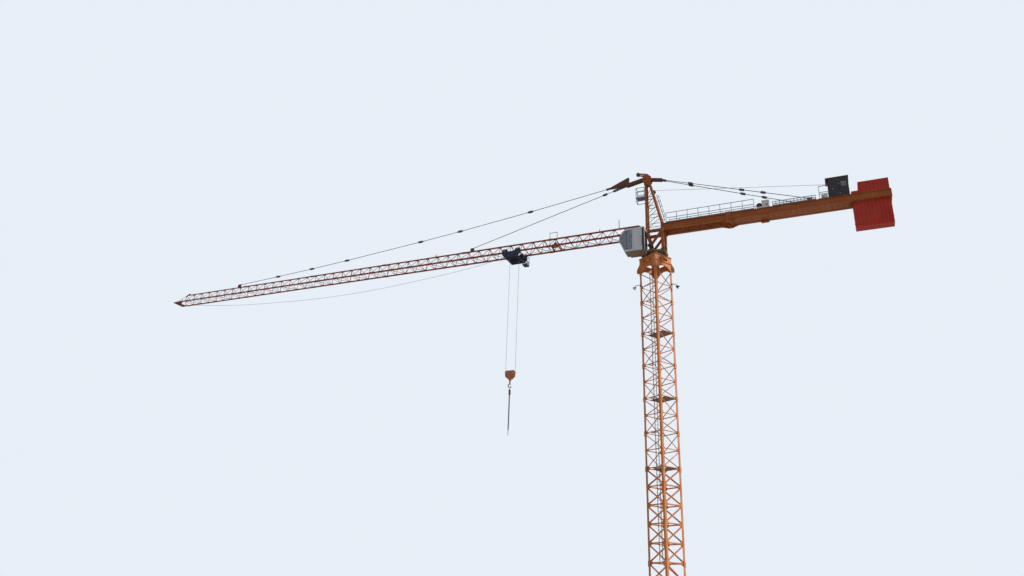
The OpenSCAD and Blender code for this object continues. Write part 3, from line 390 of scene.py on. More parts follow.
@dataclass(frozen=True)
class Plastic:
    """Moulded plastic, rubber or lens cover with a fine grain."""

    name: str
    colour: Colour
    rough: float = 0.55
    grain: float = 0.25

    def make(self) -> bpy.types.Material:
        """Build the material."""
        s = Shader(self.name)
        fine = s.noise(500.0, detail=2.0)
        dust = s.step(s.noise(30.0, detail=4.0), 0.45, 0.75)
        colour = s.mix(dust * 0.3, self.colour, (0.20, 0.18, 0.155))
        rough = (self.rough + dust * 0.2).clipped(0.0, 1.0)
        return s.surface(Base_Color=colour, Roughness=rough, Normal=s.bump(fine, self.grain, 0.0002))


@dataclass(frozen=True)
class Glass:
    """Tinted pane with a film of dust, partly see-through."""

    name: str
    colour: Colour
    clear: float = 0.25

    def make(self) -> bpy.types.Material:
        """Build the material."""
        s = Shader(self.name)
        film = s.step(s.noise(12.0, (1, 1, 0.4), 3.0), 0.35, 0.75)
        colour = s.mix(film * 0.3, self.colour, (0.24, 0.24, 0.24))
        return s.surface(Base_Color=colour, Roughness=(0.05 + film * 0.16).clipped(0.0, 1.0),
                         Alpha=(1.0 - self.clear + film * 0.2).clipped(0.0, 1.0), Coat_Weight=0.4)


@dataclass(frozen=True)
class Webbing:
    """Woven cover of a lifting sling, with painted shade in the hollows between the yarns."""

    name: str
    colour: Colour
    yarn_hollow_shade: Colour

    def make(self) -> bpy.types.Material:
        """Build the material."""
        s = Shader(self.name)
        x, y, z = s.axes()
        warp = abs(((x + y) * 2600.0).sine())
        weft = abs((z * 2600.0).sine())
        weave = (warp * weft).clipped(0.0, 1.0)
        wear = s.step(s.noise(40.0, detail=5.0), 0.45, 0.7)
        # Painted shade: the hollows between the yarns take the darker second colour, the crests of the weave
        # the cloth's own colour.
        colour = s.mix(weave, self.yarn_hollow_shade, self.colour)
        colour = s.mix(wear * 0.4, colour, (0.16, 0.15, 0.14))
        return s.surface(Base_Color=colour, Roughness=(0.75 + wear * 0.15).clipped(0.0, 1.0),
                         Normal=s.bump(weave, 0.7, 0.0004))


@dataclass
class Palette:
    """Every finish of the crane, made once."""

    made: dict[str, bpy.types.Material] = field(default_factory=dict)

    FINISHES = (
        Paint("mast_paint", (0.50, 0.148, 0.034), (0.64, 0.28, 0.115), grime=0.30),
        Paint("upper_paint", (0.28, 0.068, 0.014), (0.34, 0.108, 0.032), rust=0.7),
        Paint("jib_paint", (0.24, 0.038, 0.018), (0.32, 0.080, 0.040), rust=0.7),
        Paint("red_paint", (0.38, 0.019, 0.010), (0.41, 0.046, 0.026), rust=0.35, grime=0.24),
        Paint("block_paint", (0.40, 0.125, 0.038), (0.46, 0.195, 0.085), rust=0.8),
        Paint("white_paint", (0.50, 0.51, 0.56), (0.60, 0.60, 0.61), rust=0.35, grime=0.22, rough=0.45),
        Paint("khaki_paint", (0.165, 0.112, 0.058), (0.22, 0.165, 0.098), grime=0.5),
        Paint("blue_grey_paint", (0.095, 0.120, 0.190), (0.165, 0.195, 0.265), rust=0.4),
        Paint("dark_paint", (0.026, 0.024, 0.025), (0.060, 0.054, 0.051), rust=0.5),
        Paint("house_paint", (0.028, 0.025, 0.028), (0.052, 0.044, 0.043), rust=0.7),
        Paint("brown_paint", (0.088, 0.028, 0.015), (0.135, 0.058, 0.034), rust=0.8),
        Paint("navy_paint", (0.013, 0.016, 0.036), (0.036, 0.042, 0.074), rust=0.4),
        Paint("tie_paint", (0.045, 0.020, 0.026), (0.080, 0.044, 0.050), rust=0.8),
        Zinc("galvanised", (0.46, 0.475, 0.50)),
        GreasedSteel("dark_steel", (0.060, 0.060, 0.064), (0.085, 0.066, 0.050)),
        GreasedSteel("bright_steel", (0.42, 0.42, 0.43), (0.16, 0.13, 0.10), 0.9),
        WireRope("steel_rope", (0.21, 0.21, 0.22)),
        Plastic("black_rubber", (0.018, 0.018, 0.019), 0.7),
        Plastic("lamp_glass", (0.66, 0.67, 0.66), 0.18, 0.05),
        Plastic("seat_cover", (0.030, 0.032, 0.040), 0.8, 0.5),
        Glass("window", (0.135, 0.155, 0.205)),
        # The sling cloth's second colour is painted shade for the hollows of its weave.
        Webbing("sling_cloth", (0.155, 0.21, 0.30), (0.06, 0.085, 0.13)),
    )

    def __post_init__(self) -> None:
        """Make the materials."""
        for finish in self.FINISHES:
            self.made[finish.name] = finish.make()

    def __getitem__(self, name: str) -> bpy.types.Material:
        """The material of that finish."""
        return self.made[name]


@dataclass
class Mesh:
    """Faces gathered for one piece, each with a finish, in a frame that can be moved."""

    place: Matrix = field(default_factory=lambda: Matrix.Identity(4))
    finish: str = "dark_steel"
    verts: list[Vector] = field(default_factory=list)
    faces: list[list[int]] = field(default_factory=list)
    face_finishes: list[str] = field(default_factory=list)

    def add(self, points: Iterable[Point], faces: Iterable[Sequence[int]]) -> None:
        """Add points and faces.

        Args:
            points: places in this mesh's frame.
            faces: numbers of the new points, face by face.
        """
        first = len(self.verts)
        self.verts.extend(self.place @ Vector(point) for point in points)
        for face in faces:
            self.faces.append([first + index for index in face])
            self.face_finishes.append(self.finish)

    def loft(self, rings: Sequence[Sequence[Point]], loop: bool = False) -> None:
        """Skin a row of rings that have the same number of points.

        Args:
            rings: the rings in order.
            loop: joins the last ring to the first in place of two end caps.
        """
        n = len(rings[0])
        starts = [i * n for i in range(len(rings))]
        bands = zip(starts, starts[1:] + starts[:1] if loop else starts[1:])
        faces = [[a + k, a + (k + 1) % n, b + (k + 1) % n, b + k] for a, b in bands for k in range(n)]
        if not loop:
            faces += [list(range(n))[::-1], [starts[-1] + k for k in range(n)]]
        self.add([point for ring in rings for point in ring], faces)

    def box(self, low: Point, high: Point) -> None:
        """Box between two corners."""
        x0, y0, z0 = low
        x1, y1, z1 = high
        self.loft([[(x0, y0, z), (x1, y0, z), (x1, y1, z), (x0, y1, z)] for z in (z0, z1)])

    def block(self, centre: Point, size: Point) -> None:
        """Box round a centre."""
        half = [s / 2 for s in size]
        self.box([c - h for c, h in zip(centre, half)], [c + h for c, h in zip(centre, half)])

    def plate(self, outline: Sequence[tuple[float, float]], axis: Axis, low: float, high: float) -> None:
        """Prism over an outline.

        Args:
            outline: corners in the plane of the two other axes, in X, Y, Z order.
            axis: direction of the thickness.
            low: where the thickness starts on that axis.
            high: where it ends.
        """
        def corner(a: float, b: float, level: float) -> Point:
            """A point of the outline at one level."""
            return {Axis.X: (level, a, b), Axis.Y: (a, level, b), Axis.Z: (a, b, level)}[axis]
        self.loft([[corner(a, b, level) for a, b in outline] for level in (low, high)])

    def leaf(self, y: float, thick: float, low: tuple[float, float], high: tuple[float, float]) -> None:
        """Plate that lies on an upright face.

        Args:
            y: the face.
            thick: thickness, negative where the face looks to -Y.
            low: x and z of the lower corner.
            high: x and z of the upper corner.
        """
        y0, y1 = sorted((y, y + thick))
        self.box((low[0], y0, low[1]), (high[0], y1, high[1]))

    def louvres(self, start: Point, end: Point, count: int, pitch: float, size: tuple[float, float]) -> None:
        """Level slats, one above the other.

        Args:
            start: one end of the lowest slat.
            end: its other end.
            count: how many slats.
            pitch: height from one to the next.
            size: width and height of a slat.
        """
        for k in range(count):
            rise = pitch * k
            self.strip((start[0], start[1], start[2] + rise), (end[0], end[1], end[2] + rise), *size)

    def rod(self, start: Point, end: Point, radius: float, sides: int = 8) -> None:
        """Straight round bar."""
        self.tube([start, end], radius, sides)

    def across(self, centre: Point, half: float, radius: float, sides: int = 12) -> None:
        """Round bar along Y, half of its length on either side of a centre."""
        x, y, z = centre
        self.rod((x, y - half, z), (x, y + half, z), radius, sides)

    def tube(self, path: Sequence[Point], radius: float, sides: int = 8, loop: bool = False) -> None:
        """Round tube along a path, with its rings kept from twisting.

        Args:
            path: the centre line.
            radius: radius of the tube.
            sides: sides of each ring.
            loop: joins the end to the start.
        """
        points = [Vector(p) for p in path]
        last = len(points) - 1
        rings = []
        side = None
        for i, point in enumerate(points):
            after = points[(i + 1) % len(points)] if loop or i < last else point
            before = points[i - 1] if loop or i > 0 else point
            along = (after - before).normalized()
            if side is None:
                side = along.orthogonal().normalized()
            side = (side - along * side.dot(along)).normalized()
            up = along.cross(side)
            rings.append([point + radius * (side * math.cos(a) + up * math.sin(a))
                          for a in (2 * math.pi * k / sides for k in range(sides))])
        self.loft(rings, loop)

    def strip(self, start: Point, end: Point, width: float, height: float, up: Point = (0, 0, 1)) -> None:
        """Straight bar of rectangular section; height is measured towards up."""
        a, b = Vector(start), Vector(end)
        along = (b - a).normalized()
        side = along.cross(Vector(up)).normalized() * width / 2
        rise = side.cross(along).normalized() * height / 2
        self.loft([[p + side + rise, p - side + rise, p - side - rise, p + side - rise] for p in (a, b)])

    def lathe(self, centre: Point, axis: Axis, profile: Sequence[tuple[float, float]],
              sides: int = 24) -> None:
        """Turned shape.

        Args:
            centre: where the profile's zero height lies.
            axis: the axis of the turning.
            profile: pairs of radius and height, from one end to the other.
            sides: sides of the round.
        """
        turn = Matrix.Translation(Vector(centre)) @ axis.turn()
        angles = [2 * math.pi * k / sides for k in range(sides)]
        rounded = [(max(r, POINT_R), h) for r, h in profile]
        self.loft([[turn @ Vector((r * math.cos(a), r * math.sin(a), h)) for a in angles]
                   for r, h in rounded])

    def disc(self, centre: Point, axis: Axis, radius: float, thick: float, sides: int = 24) -> None:
        """Round plate with softened rims, centred on its thickness."""
        c = min(thick, radius) * 0.18
        h = thick / 2
        rim = [(radius - c, -h), (radius, -h + c), (radius, h - c), (radius - c, h)]
        self.lathe(centre, axis, rim, sides)

    def bolt(self, at: Point, normal: Point, across: float) -> None:
        """Washer and hexagon head standing on a surface.

        Args:
            at: foot of the bolt.
            normal: direction in which it stands.
            across: width of the head.
        """
        foot, up = Vector(at), Vector(normal).normalized()
        self.rod(foot - up * across * 0.2, foot + up * across * 0.14, across * 0.68, 10)
        self.rod(foot, foot + up * across * 0.62, across * 0.55, 6)

    def build(self, name: str, palette: Palette, body: Body | None, slot: str, bevel: float = 0.0,
              smooth: float = SMOOTH_ANGLE) -> bpy.types.Object:
        """Turn the gathered faces into a piece of the crane.

        Args:
            name: the piece's name.
            palette: the finishes.
            body: the body that it rides on, or None where it rides on no body and the caller bakes its place.
            slot: the record's material slot of the piece; not used.
            bevel: width of the rounding on its edges, 0 for none.
            smooth: angle in degrees under which edges are shaded smooth.

        Returns:
            The object.
        """
        data = bpy.data.meshes.new(name)
        data.from_pydata(self.verts, [], self.faces)
        finishes = sorted(set(self.face_finishes))
        for finish in finishes:
            data.materials.append(palette[finish])
        data.polygons.foreach_set("material_index", [finishes.index(f) for f in self.face_finishes])
        data.polygons.foreach_set("use_smooth", [True] * len(self.faces))
        data.update()
        data.validate()
        bm = bmesh.new()
        bm.from_mesh(data)
        bmesh.ops.recalc_face_normals(bm, faces=bm.faces)
        bm.to_mesh(data)
        bm.free()
        data.set_sharp_from_angle(angle=math.radians(smooth))
        piece = bpy.data.objects.new(name, data)
        bpy.context.scene.collection.objects.link(piece)
        if bevel > 0:
            rounding = piece.modifiers.new("rounding", "BEVEL")
            rounding.width = bevel
            rounding.segments = 2
            rounding.limit_method = "ANGLE"
            rounding.angle_limit = math.radians(BEVEL_ANGLE)
        if body is not None:
            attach(piece, body.value)
        LOG.info("%s: %d faces on %s", name, len(self.faces), body.value if body else "a blend")
        return piece


@dataclass
class Assembly:
    """A sub-assembly: it gives its CAD nodes their finishes and builds what is dressed onto them."""

    palette: Palette
    count: int = field(default=0, init=False)

    def coat(self, finish: str, *nodes: str) -> None:
        """Give CAD nodes a finish in every one of their material slots."""
        for name in nodes:
            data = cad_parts[name].data
            for index in range(len(data.materials)):
                data.materials[index] = self.palette[finish]

    def finish(self, mesh: Mesh, name: str, body: Body | None, slot: str, bevel: float = 0.0,
               smooth: float = SMOOTH_ANGLE) -> bpy.types.Object:
        """Build a mesh as a piece of this sub-assembly; see Mesh.build."""
        self.count += 1
        return mesh.build(name, self.palette, body, slot, bevel, smooth)

    def build(self) -> None:
        """Build the pieces that stand for CAD nodes or add to their form."""

    def dress(self) -> None:
        """Coat the CAD nodes and add the small pieces."""


def spread(start: float, end: float, steps: int) -> list[float]:
    """Even stations from start to end, both included."""
    return [start + (end - start) * k / steps for k in range(steps + 1)]


def ring(centre: Point, axis: Axis, radius: float, count: int, first: float = 0.0) -> list[Point]:
    """Places in a circle.

    Args:
        centre: the circle's centre.
        axis: Z for a level circle, Y for an upright one that faces sideways.
        radius: the circle's radius.
        count: how many places.
        first: angle of the first place in degrees.

    Returns:
        The places in order.
    """
    x, y, z = centre
    angles = [math.radians(first + 360 * k / count) for k in range(count)]
    if axis is Axis.Z:
        return [(x + radius * math.cos(a), y + radius * math.sin(a), z) for a in angles]
    return [(x + radius * math.cos(a), y, z + radius * math.sin(a)) for a in angles]


def arc(centre: Point, radius: float, start: float, end: float, steps: int) -> list[Vector]:
    """Points of an arc in the XZ plane, its angles in degrees from +X towards +Z."""
    angles = [math.radians(angle) for angle in spread(start, end, steps)]
    return [Vector((centre[0] + radius * math.cos(a), centre[1], centre[2] + radius * math.sin(a)))
            for a in angles]


def smooth_line(points: Sequence[Point], steps: int) -> list[Vector]:
    """Catmull-Rom line through points, with that many steps between two of them."""
    p = [Vector(point) for point in points]
    p = [p[0]] + p + [p[-1]]
    line = []
    for a, b, c, d in zip(p, p[1:], p[2:], p[3:]):
        for k in range(steps):
            u = k / steps
            line.append((2 * b + (c - a) * u + (2 * a - 5 * b + 4 * c - d) * u * u
                         + (3 * b - a - 3 * c + d) * u ** 3) / 2)
    return line + [p[-1]]


@dataclass
class Ropes(Assembly):
    """Hoist rope, its falls, and the slack rope back from the jib tip."""

    fall_gap: float = 0.100
    head: Point = (-0.010, 0.0, JIB_Z + 0.445)
    root: Point = (0.106, 0.0, ROPE_Z + SHEAVE_R)
    drum_out: Point = (-1.5717, 0.0, JIB_Z + 0.225)
    sheave_x: float = 0.0693
    stations: int = 24
    route: tuple[tuple[float, float], ...] = (
        (5.970, -0.007), (5.900, -0.016), (5.750, -0.038), (5.450, -0.078), (5.000, -0.126), (4.500, -0.160),
        (4.000, -0.182), (3.550, -0.188), (3.100, -0.176), (2.800, -0.158), (2.400, -0.128), (2.100, -0.100),
        (1.850, -0.070), (1.700, -0.044), (1.600, -0.025), (1.510, -0.011),
    )

    def rope(self, name: str, line: Sequence[Point], body: Body | None) -> bpy.types.Object:
        """A length of wire rope along a line."""
        mesh = Mesh(finish="steel_rope")
        mesh.tube(line, ROPE_D / 2, 10)
        return self.finish(mesh, name, body, "steel_rope", smooth=60)

    def build(self) -> None:
        line = smooth_line([(x, 0.0, JIB_Z + z) for x, z in self.route], 6)
        slack = self.rope("slack_rope_to_jib_tip", line, None)
        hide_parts("dead_end_rope")
        length = sum((b - a).length for a, b in zip(line, line[1:]))
        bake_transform(slack)

        trolley_end = (TROLLEY_X - self.sheave_x, 0.0, ROPE_Z)
        run = [(x, 0.0, ROPE_Z) for x in spread(self.root[0], trolley_end[0], self.stations)]
        under_jib = self.rope("hoist_rope_under_jib", run, None)
        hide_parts("jib_rope")
        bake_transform(under_jib)

        rise = math.degrees(math.atan2(self.head[2] + SHEAVE_R - self.drum_out[2],
                                       self.head[0] - self.drum_out[0]))
        dx, dz = self.root[0] - self.head[0], self.head[2] - self.root[2]
        fall = math.degrees(math.atan2(dz, dx) + math.asin(2 * SHEAVE_R / math.hypot(dx, dz)))
        over = arc(self.head, SHEAVE_R, 90 + rise, 90 - fall, 20)
        under = arc(self.root, SHEAVE_R, 270 - fall, 270, 12)
        upper = self.rope("hoist_rope_over_cathead", [self.drum_out, *over, *under], Body.UPPER)
        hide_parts("hoist_rope")

        top_z = ROPE_Z - SHEAVE_R
        for side, word in ((-1, "inner"), (1, "outer")):
            x = TROLLEY_X + side * self.fall_gap / 2
            fall_line = [(x, 0.0, z) for z in spread(top_z, BLOCK_AXLE_Z, self.stations)]
            piece = self.rope("hoist_fall_" + word, fall_line, None)
            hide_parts("hoist_falls")
            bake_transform(piece)
            centre = (TROLLEY_X + side * self.sheave_x, 0.0, top_z)
            self.rope("rope_over_trolley_sheave_" + word, arc(centre, SHEAVE_R, 90, 90 + 90 * side, 12),
                      Body.TROLLEY)
            centre = (TROLLEY_X + side * BLOCK_SHEAVE_X, 0.0, BLOCK_AXLE_Z)
            self.rope("rope_under_block_sheave_" + word, arc(centre, SHEAVE_R, 90 - 90 * side, -90, 12),
                      Body.BLOCK)
        low = BLOCK_AXLE_Z - SHEAVE_R
        between = [(TROLLEY_X + side * BLOCK_SHEAVE_X, 0, low) for side in SIDES]
        self.rope("rope_between_block_sheaves", between, Body.BLOCK)


@dataclass
class Sling(Assembly):
    """Lifting sling that hangs in the hook, with the sleeve at its head."""

    top: Point = (TROLLEY_X, 0.0, HOOK_Z - 0.0817)
    drop: float = 0.340
    diameter: float = 0.012
    sleeve: tuple[tuple[float, float], ...] = ((0.0088, -0.006), (0.0098, -0.002), (0.0098, 0.040),
                                               (0.0088, 0.044))

    def build(self) -> None:
        x, y, z = self.top
        stations = (0, -0.060, -0.130, -0.200, -0.270, -self.drop)
        line = smooth_line([(x, y, z + dz) for dz in stations], 6)
        mesh = Mesh(finish="sling_cloth")
        mesh.tube(line, self.diameter / 2, 16)
        sling = self.finish(mesh, "sling_rope", Body.HOOK, "sling_cloth", smooth=60)
        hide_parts("sling")

    def dress(self) -> None:
        """Coat the fittings and add the black sleeve at the sling's head."""
        self.coat("galvanised", "sling_fittings")
        mesh = Mesh(finish="black_rubber")
        mesh.lathe(self.top, Axis.Z, self.sleeve, 28)
        self.finish(mesh, "sling_head_sleeve", Body.HOOK, "dark_paint")


@dataclass(frozen=True)
class Lamp:
    """A sun lamp: the way its light travels, its power and colour, and its softness in degrees."""

    name: str
    direction: Point
    power: float
    colour: Colour
    angle: float

    def make(self) -> bpy.types.Object:
        """Put the lamp into the scene."""
        data = bpy.data.lights.new(self.name, "SUN")
        data.energy = self.power
        data.color = self.colour
        data.angle = math.radians(self.angle)
        lamp = bpy.data.objects.new(self.name, data)
        lamp.rotation_euler = Vector(self.direction).to_track_quat("-Z", "Y").to_euler()
        bpy.context.scene.collection.objects.link(lamp)
        return lamp


@dataclass
class Studio:
    """Backdrop, lamps and the photograph's camera."""

    place: Point = (-1.461, 6.506, 0.097)
    forward: Point = (0.3782, -0.8433, 0.3817)
    roll: float = math.radians(2.23)
    focal_px: float = 769.0
    sensor: float = 36.0
    width: int = 1024
    far: float = 100.0
    sky: Colour = (0.80, 0.86, 0.93)
    sky_power: float = 1.0
    fill: Colour = (0.92, 0.96, 1.0)
    fill_power: float = 0.28
    floor_half: float = 90.0
    floor_drop: float = 0.001
    floor_colour: Colour = (0.56, 0.57, 0.59)
    floor_rough: float = 0.9

    LAMPS = (
        Lamp("sun", (0.84, 0.20, -0.50), 3.7, (1.0, 0.93, 0.84), 4.0),
        Lamp("sky_light", (-0.35, -0.55, -0.75), 0.35, (0.86, 0.92, 1.0), 60.0),
    )

    def camera(self) -> bpy.types.Object:
        """Camera at the photograph's place and angle."""
        forward = Vector(self.forward).normalized()
        right = forward.cross(Vector((0, 0, 1))).normalized()
        up = right.cross(forward)
        x_axis = right * math.cos(self.roll) + up * math.sin(self.roll)
        y_axis = up * math.cos(self.roll) - right * math.sin(self.roll)
        turn = Matrix((x_axis, y_axis, -forward)).transposed()
        data = bpy.data.cameras.new("photo_camera")
        data.sensor_width = self.sensor
        data.lens = self.focal_px * self.sensor / self.width
        data.clip_end = self.far
        camera = bpy.data.objects.new("photo_camera", data)
        camera.matrix_world = Matrix.Translation(self.place) @ turn.to_4x4()
        bpy.context.scene.collection.objects.link(camera)
        bpy.context.scene.camera = camera
        return camera

    def floor(self) -> bpy.types.Object:
        """Plain pale floor under the foundation."""
        data = bpy.data.meshes.new("floor")
        s = self.floor_half
        data.from_pydata([(-s, -s, 0), (s, -s, 0), (s, s, 0), (-s, s, 0)], [], [(0, 1, 2, 3)])
        floor = bpy.data.objects.new("floor", data)
        floor.location.z = -self.floor_drop
        bpy.context.scene.collection.objects.link(floor)
        shader = Shader("floor_paint")
        data.materials.append(shader.surface(Base_Color=self.floor_colour, Roughness=self.floor_rough))
        return floor

    def world(self) -> None:
        """Pale background for the camera and for mirrors, soft fill for the rest."""
        world = bpy.data.worlds.new("studio_world")
        bpy.context.scene.world = world
        world.use_nodes = True
        tree = world.node_tree
        tree.nodes.clear()
        rays = tree.nodes.new("ShaderNodeLightPath")
        seen = (Value(tree, rays.outputs["Is Camera Ray"]) + Value(tree, rays.outputs["Is Glossy Ray"])
                + Value(tree, rays.outputs["Is Transmission Ray"])).clipped(0.0, 1.0)
        lights = []
        for colour, strength in ((self.fill, self.fill_power), (self.sky, self.sky_power)):
            light = tree.nodes.new("ShaderNodeBackground")
            light.inputs["Color"].default_value = (*colour, 1.0)
            light.inputs["Strength"].default_value = strength
            lights.append(Value(tree, light.outputs[0]))
        mix = tree.nodes.new("ShaderNodeMixShader")
        for slot, item in zip(mix.inputs, (seen, *lights)):
            connect(tree, slot, item)
        output = tree.nodes.new("ShaderNodeOutputWorld")
        tree.links.new(mix.outputs[0], output.inputs["Surface"])

    def build(self) -> None:
        """Set up the studio."""
        self.camera()
        stage = [self.floor(), *(lamp.make() for lamp in self.LAMPS)]
        self.world()
        bpy.context.scene.view_settings.view_transform = "Standard"


def quarter_turn(number: int, extra: float = 0.0) -> Matrix:
    """Frame of one face or corner of the mast, with a further turn in degrees."""
    return Matrix.Rotation(MAST_TURN + math.radians(90 * number + extra), 4, "Z")


@dataclass
class Foundation(Assembly):
    """Crossed beams on four foot plates."""

    foot_x: float = 0.291
    foot_t: float = 0.006
    hole_r: float = 0.042
    beam_end: float = 0.250
    end_t: float = 0.004
    gusset_y: float = 0.013
    gusset_len: float = 0.040
    plate_t: float = 0.003
    ribs: tuple[float, ...] = (0.060, 0.110, 0.190, 0.225)

    def build(self) -> None:
        """Build the end plates, gussets and ribs of the beams."""
        mesh = Mesh(finish="mast_paint")
        x0, x1 = self.beam_end + self.end_t, self.beam_end + self.gusset_len
        low, half_t = self.foot_t, self.plate_t / 2
        for quarter in range(4):
            mesh.place = quarter_turn(quarter, 45)
            mesh.box((self.beam_end, -0.022, low), (x0, 0.022, 0.040))
            for y in (-self.gusset_y, self.gusset_y):
                outline = [(x0, low), (x1, low), (x1, low + 0.004), (x0, 0.038)]
                mesh.plate(outline, Axis.Y, y - half_t, y + half_t)
            for x in self.ribs:
                for side in SIDES:
                    y0, y1 = sorted((side * 0.002, side * 0.019))
                    mesh.box((x - half_t, y0, 0.004), (x + half_t, y1, 0.036))
        self.finish(mesh, "foundation_gussets", Body.MAST, "mast_paint", bevel=0.0004)

    def dress(self) -> None:
        """Coat the frame and add the anchor studs with washers, nuts and lock nuts."""
        self.coat("mast_paint", "foundation_frame")
        mesh = Mesh(finish="galvanised")
        top = self.foot_t
        stud = ((0.0005, 0.026, 0.0023, 12), (top, top + 0.0014, 0.0058, 20),
                (top + 0.0014, top + 0.0058, 0.0046, 6), (top + 0.0062, top + 0.0092, 0.0046, 6))
        for quarter in range(4):
            mesh.place = quarter_turn(quarter, 45)
            for x, y, _ in ring((self.foot_x, 0, 0), Axis.Z, self.hole_r, 4, 45):
                for low, high, radius, sides in stud:
                    mesh.rod((x, y, low), (x, y, high), radius, sides)
        self.finish(mesh, "anchor_studs", Body.MAST, "galvanised", bevel=0.0003)


@dataclass
class Mast(Assembly):
    """Lattice sections of the mast with the gussets, bolts and seams of their joints."""

    joint_t: float = 0.003
    section: float = 0.300
    brace_d: float = 0.008
    heavy_panel: float = 0.150
    joint_bolt: float = 0.0048
    knot_bolt: float = 0.0030
    seam: float = 0.023
    seam_r: float = 0.0006

    def joints(self) -> list[float]:
        """Levels at which two sections meet."""
        return [BASE_TOP, *(HEAVY_TOP + self.section * i for i in range(7))]

    def knots(self) -> list[float]:
        """Levels of the bracing's knots in the light sections."""
        return [HEAVY_TOP + self.section / 2 * i + self.brace_d for i in range(12)]

    def build(self) -> None:
        """Build the gusset plates at the knots of the bracing."""
        mesh = Mesh(finish="mast_paint")
        half = MAST_W / 2
        inner = half - 0.003
        plates = [(z, 0.066, (-0.012, -0.005, 0.005, 0.024), 0.0016) for z in self.knots()]
        plates += [(BASE_TOP + self.heavy_panel * i, 0.058, (-0.022, 0.0, 0.014, 0.036), 0.002)
                   for i in range(-2, 6)]
        for face in range(4):
            mesh.place = quarter_turn(face)
            for level, reach, rise, thick in plates:
                for side in SIDES:
                    y0, y1 = side * (half - 0.005), side * reach
                    outline = [(y, level + dz) for y, dz in zip((y0, y1, y1, y0), rise)]
                    mesh.plate(outline, Axis.X, -inner, -inner + thick)
        self.finish(mesh, "mast_gussets", Body.MAST, "mast_paint", bevel=0.0003)

    def dress(self) -> None:
        """Coat the sections and add the bolts and the dark seams of the joints."""
        self.coat("mast_paint", "base_section", "heavy_section", "top_section",
                  *(f"mast_section_{i}" for i in range(1, 6)))
        self.coat("khaki_paint", "mast_access")
        mesh = Mesh(finish="galvanised")
        half, outward = MAST_W / 2, (-1, 0, 0)
        levels = [z + dz for z in self.joints() for dz in (-0.015, -0.007, 0.007, 0.015)]
        for face in range(4):
            mesh.place = quarter_turn(face)
            for z in levels:
                if z <= MAST_TOP:
                    for side in SIDES:
                        mesh.bolt((-half - self.joint_t, side * (half - 0.010), z), outward, self.joint_bolt)
        for face in range(4):
            mesh.place = quarter_turn(face)
            for z in self.knots():
                for side in SIDES:
                    for dy in (0.008, 0.014):
                        mesh.bolt((-half, side * (half - dy), z + 0.003), outward, self.knot_bolt)
        self.finish(mesh, "mast_bolts", Body.MAST, "galvanised")
        seams = Mesh(finish="dark_paint")
        w = half + self.joint_t + 0.0002
        for corner in range(4):
            seams.place = quarter_turn(corner)
            for z in self.joints()[:-1]:
                for x, y in ((self.seam - w, w), (-w, w - self.seam)):
                    seams.rod((-w, w, z), (x, y, z), self.seam_r, 4)
        self.finish(seams, "mast_joint_seams", Body.MAST, "dark_paint")


@dataclass
class Floodlights(Assembly):
    """Two floodlights on arms at the top section: a pale round one and a dark cone."""

    lamp_drop: float = 0.120
    lamp_hang: float = 0.014
    tilt: float = math.radians(130)
    arms: tuple[tuple[int, float, str], ...] = ((1, 0.036, "navy_paint"), (3, 0.040, "white_paint"))
    housing: tuple[tuple[float, float], ...] = ((0.003, -0.003), (0.007, -0.001), (0.009, 0.005),
                                                (0.0165, 0.022), (0.0175, 0.0235), (0.0175, 0.026),
                                                (0.0158, 0.026))
    lens: tuple[tuple[float, float], ...] = ((0.0157, 0.0240), (0.0157, 0.0254), (0.010, 0.0264), (0, 0.0268))

    def build(self) -> None:
        """Build arm, fork, housing, cooling fins and lens of each lamp."""
        lamps = Mesh()
        root = Matrix.Translation((MAST_W / math.sqrt(2) + 0.0003, 0, MAST_TOP - self.lamp_drop))
        for corner, arm, shade in self.arms:
            lamps.place = quarter_turn(corner, 135) @ root
            lamps.finish = "galvanised"
            lamps.box((0, -0.003, 0), (arm, 0.003, 0.005))
            lamps.box((0, -0.011, -0.008), (0.0025, 0.011, 0.013))
            for y, z in ((-0.008, -0.005), (0.008, -0.005), (-0.008, 0.010), (0.008, 0.010)):
                lamps.bolt((0.0025, y, z), (1, 0, 0), 0.0030)
            lamps.rod((arm, 0, -self.lamp_hang), (arm, 0, 0.006), 0.0035, 16)
            lamps.finish = shade
            lamps.place = (lamps.place @ Matrix.Translation((arm, 0, -self.lamp_hang))
                           @ Matrix.Rotation(self.tilt, 4, "Y"))
            lamps.lathe((0, 0, 0), Axis.Z, self.housing, 36)
            for k in range(5):
                lamps.disc((0, 0, 0.002 + 0.0028 * k), Axis.Z, 0.0098 + 0.0007 * k, 0.0009, 28)
            lamps.finish = "lamp_glass"
            lamps.lathe((0, 0, 0), Axis.Z, self.lens, 36)
        piece = self.finish(lamps, "floodlight_pair", Body.MAST, "galvanised", bevel=0.0002)
        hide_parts("floodlights")


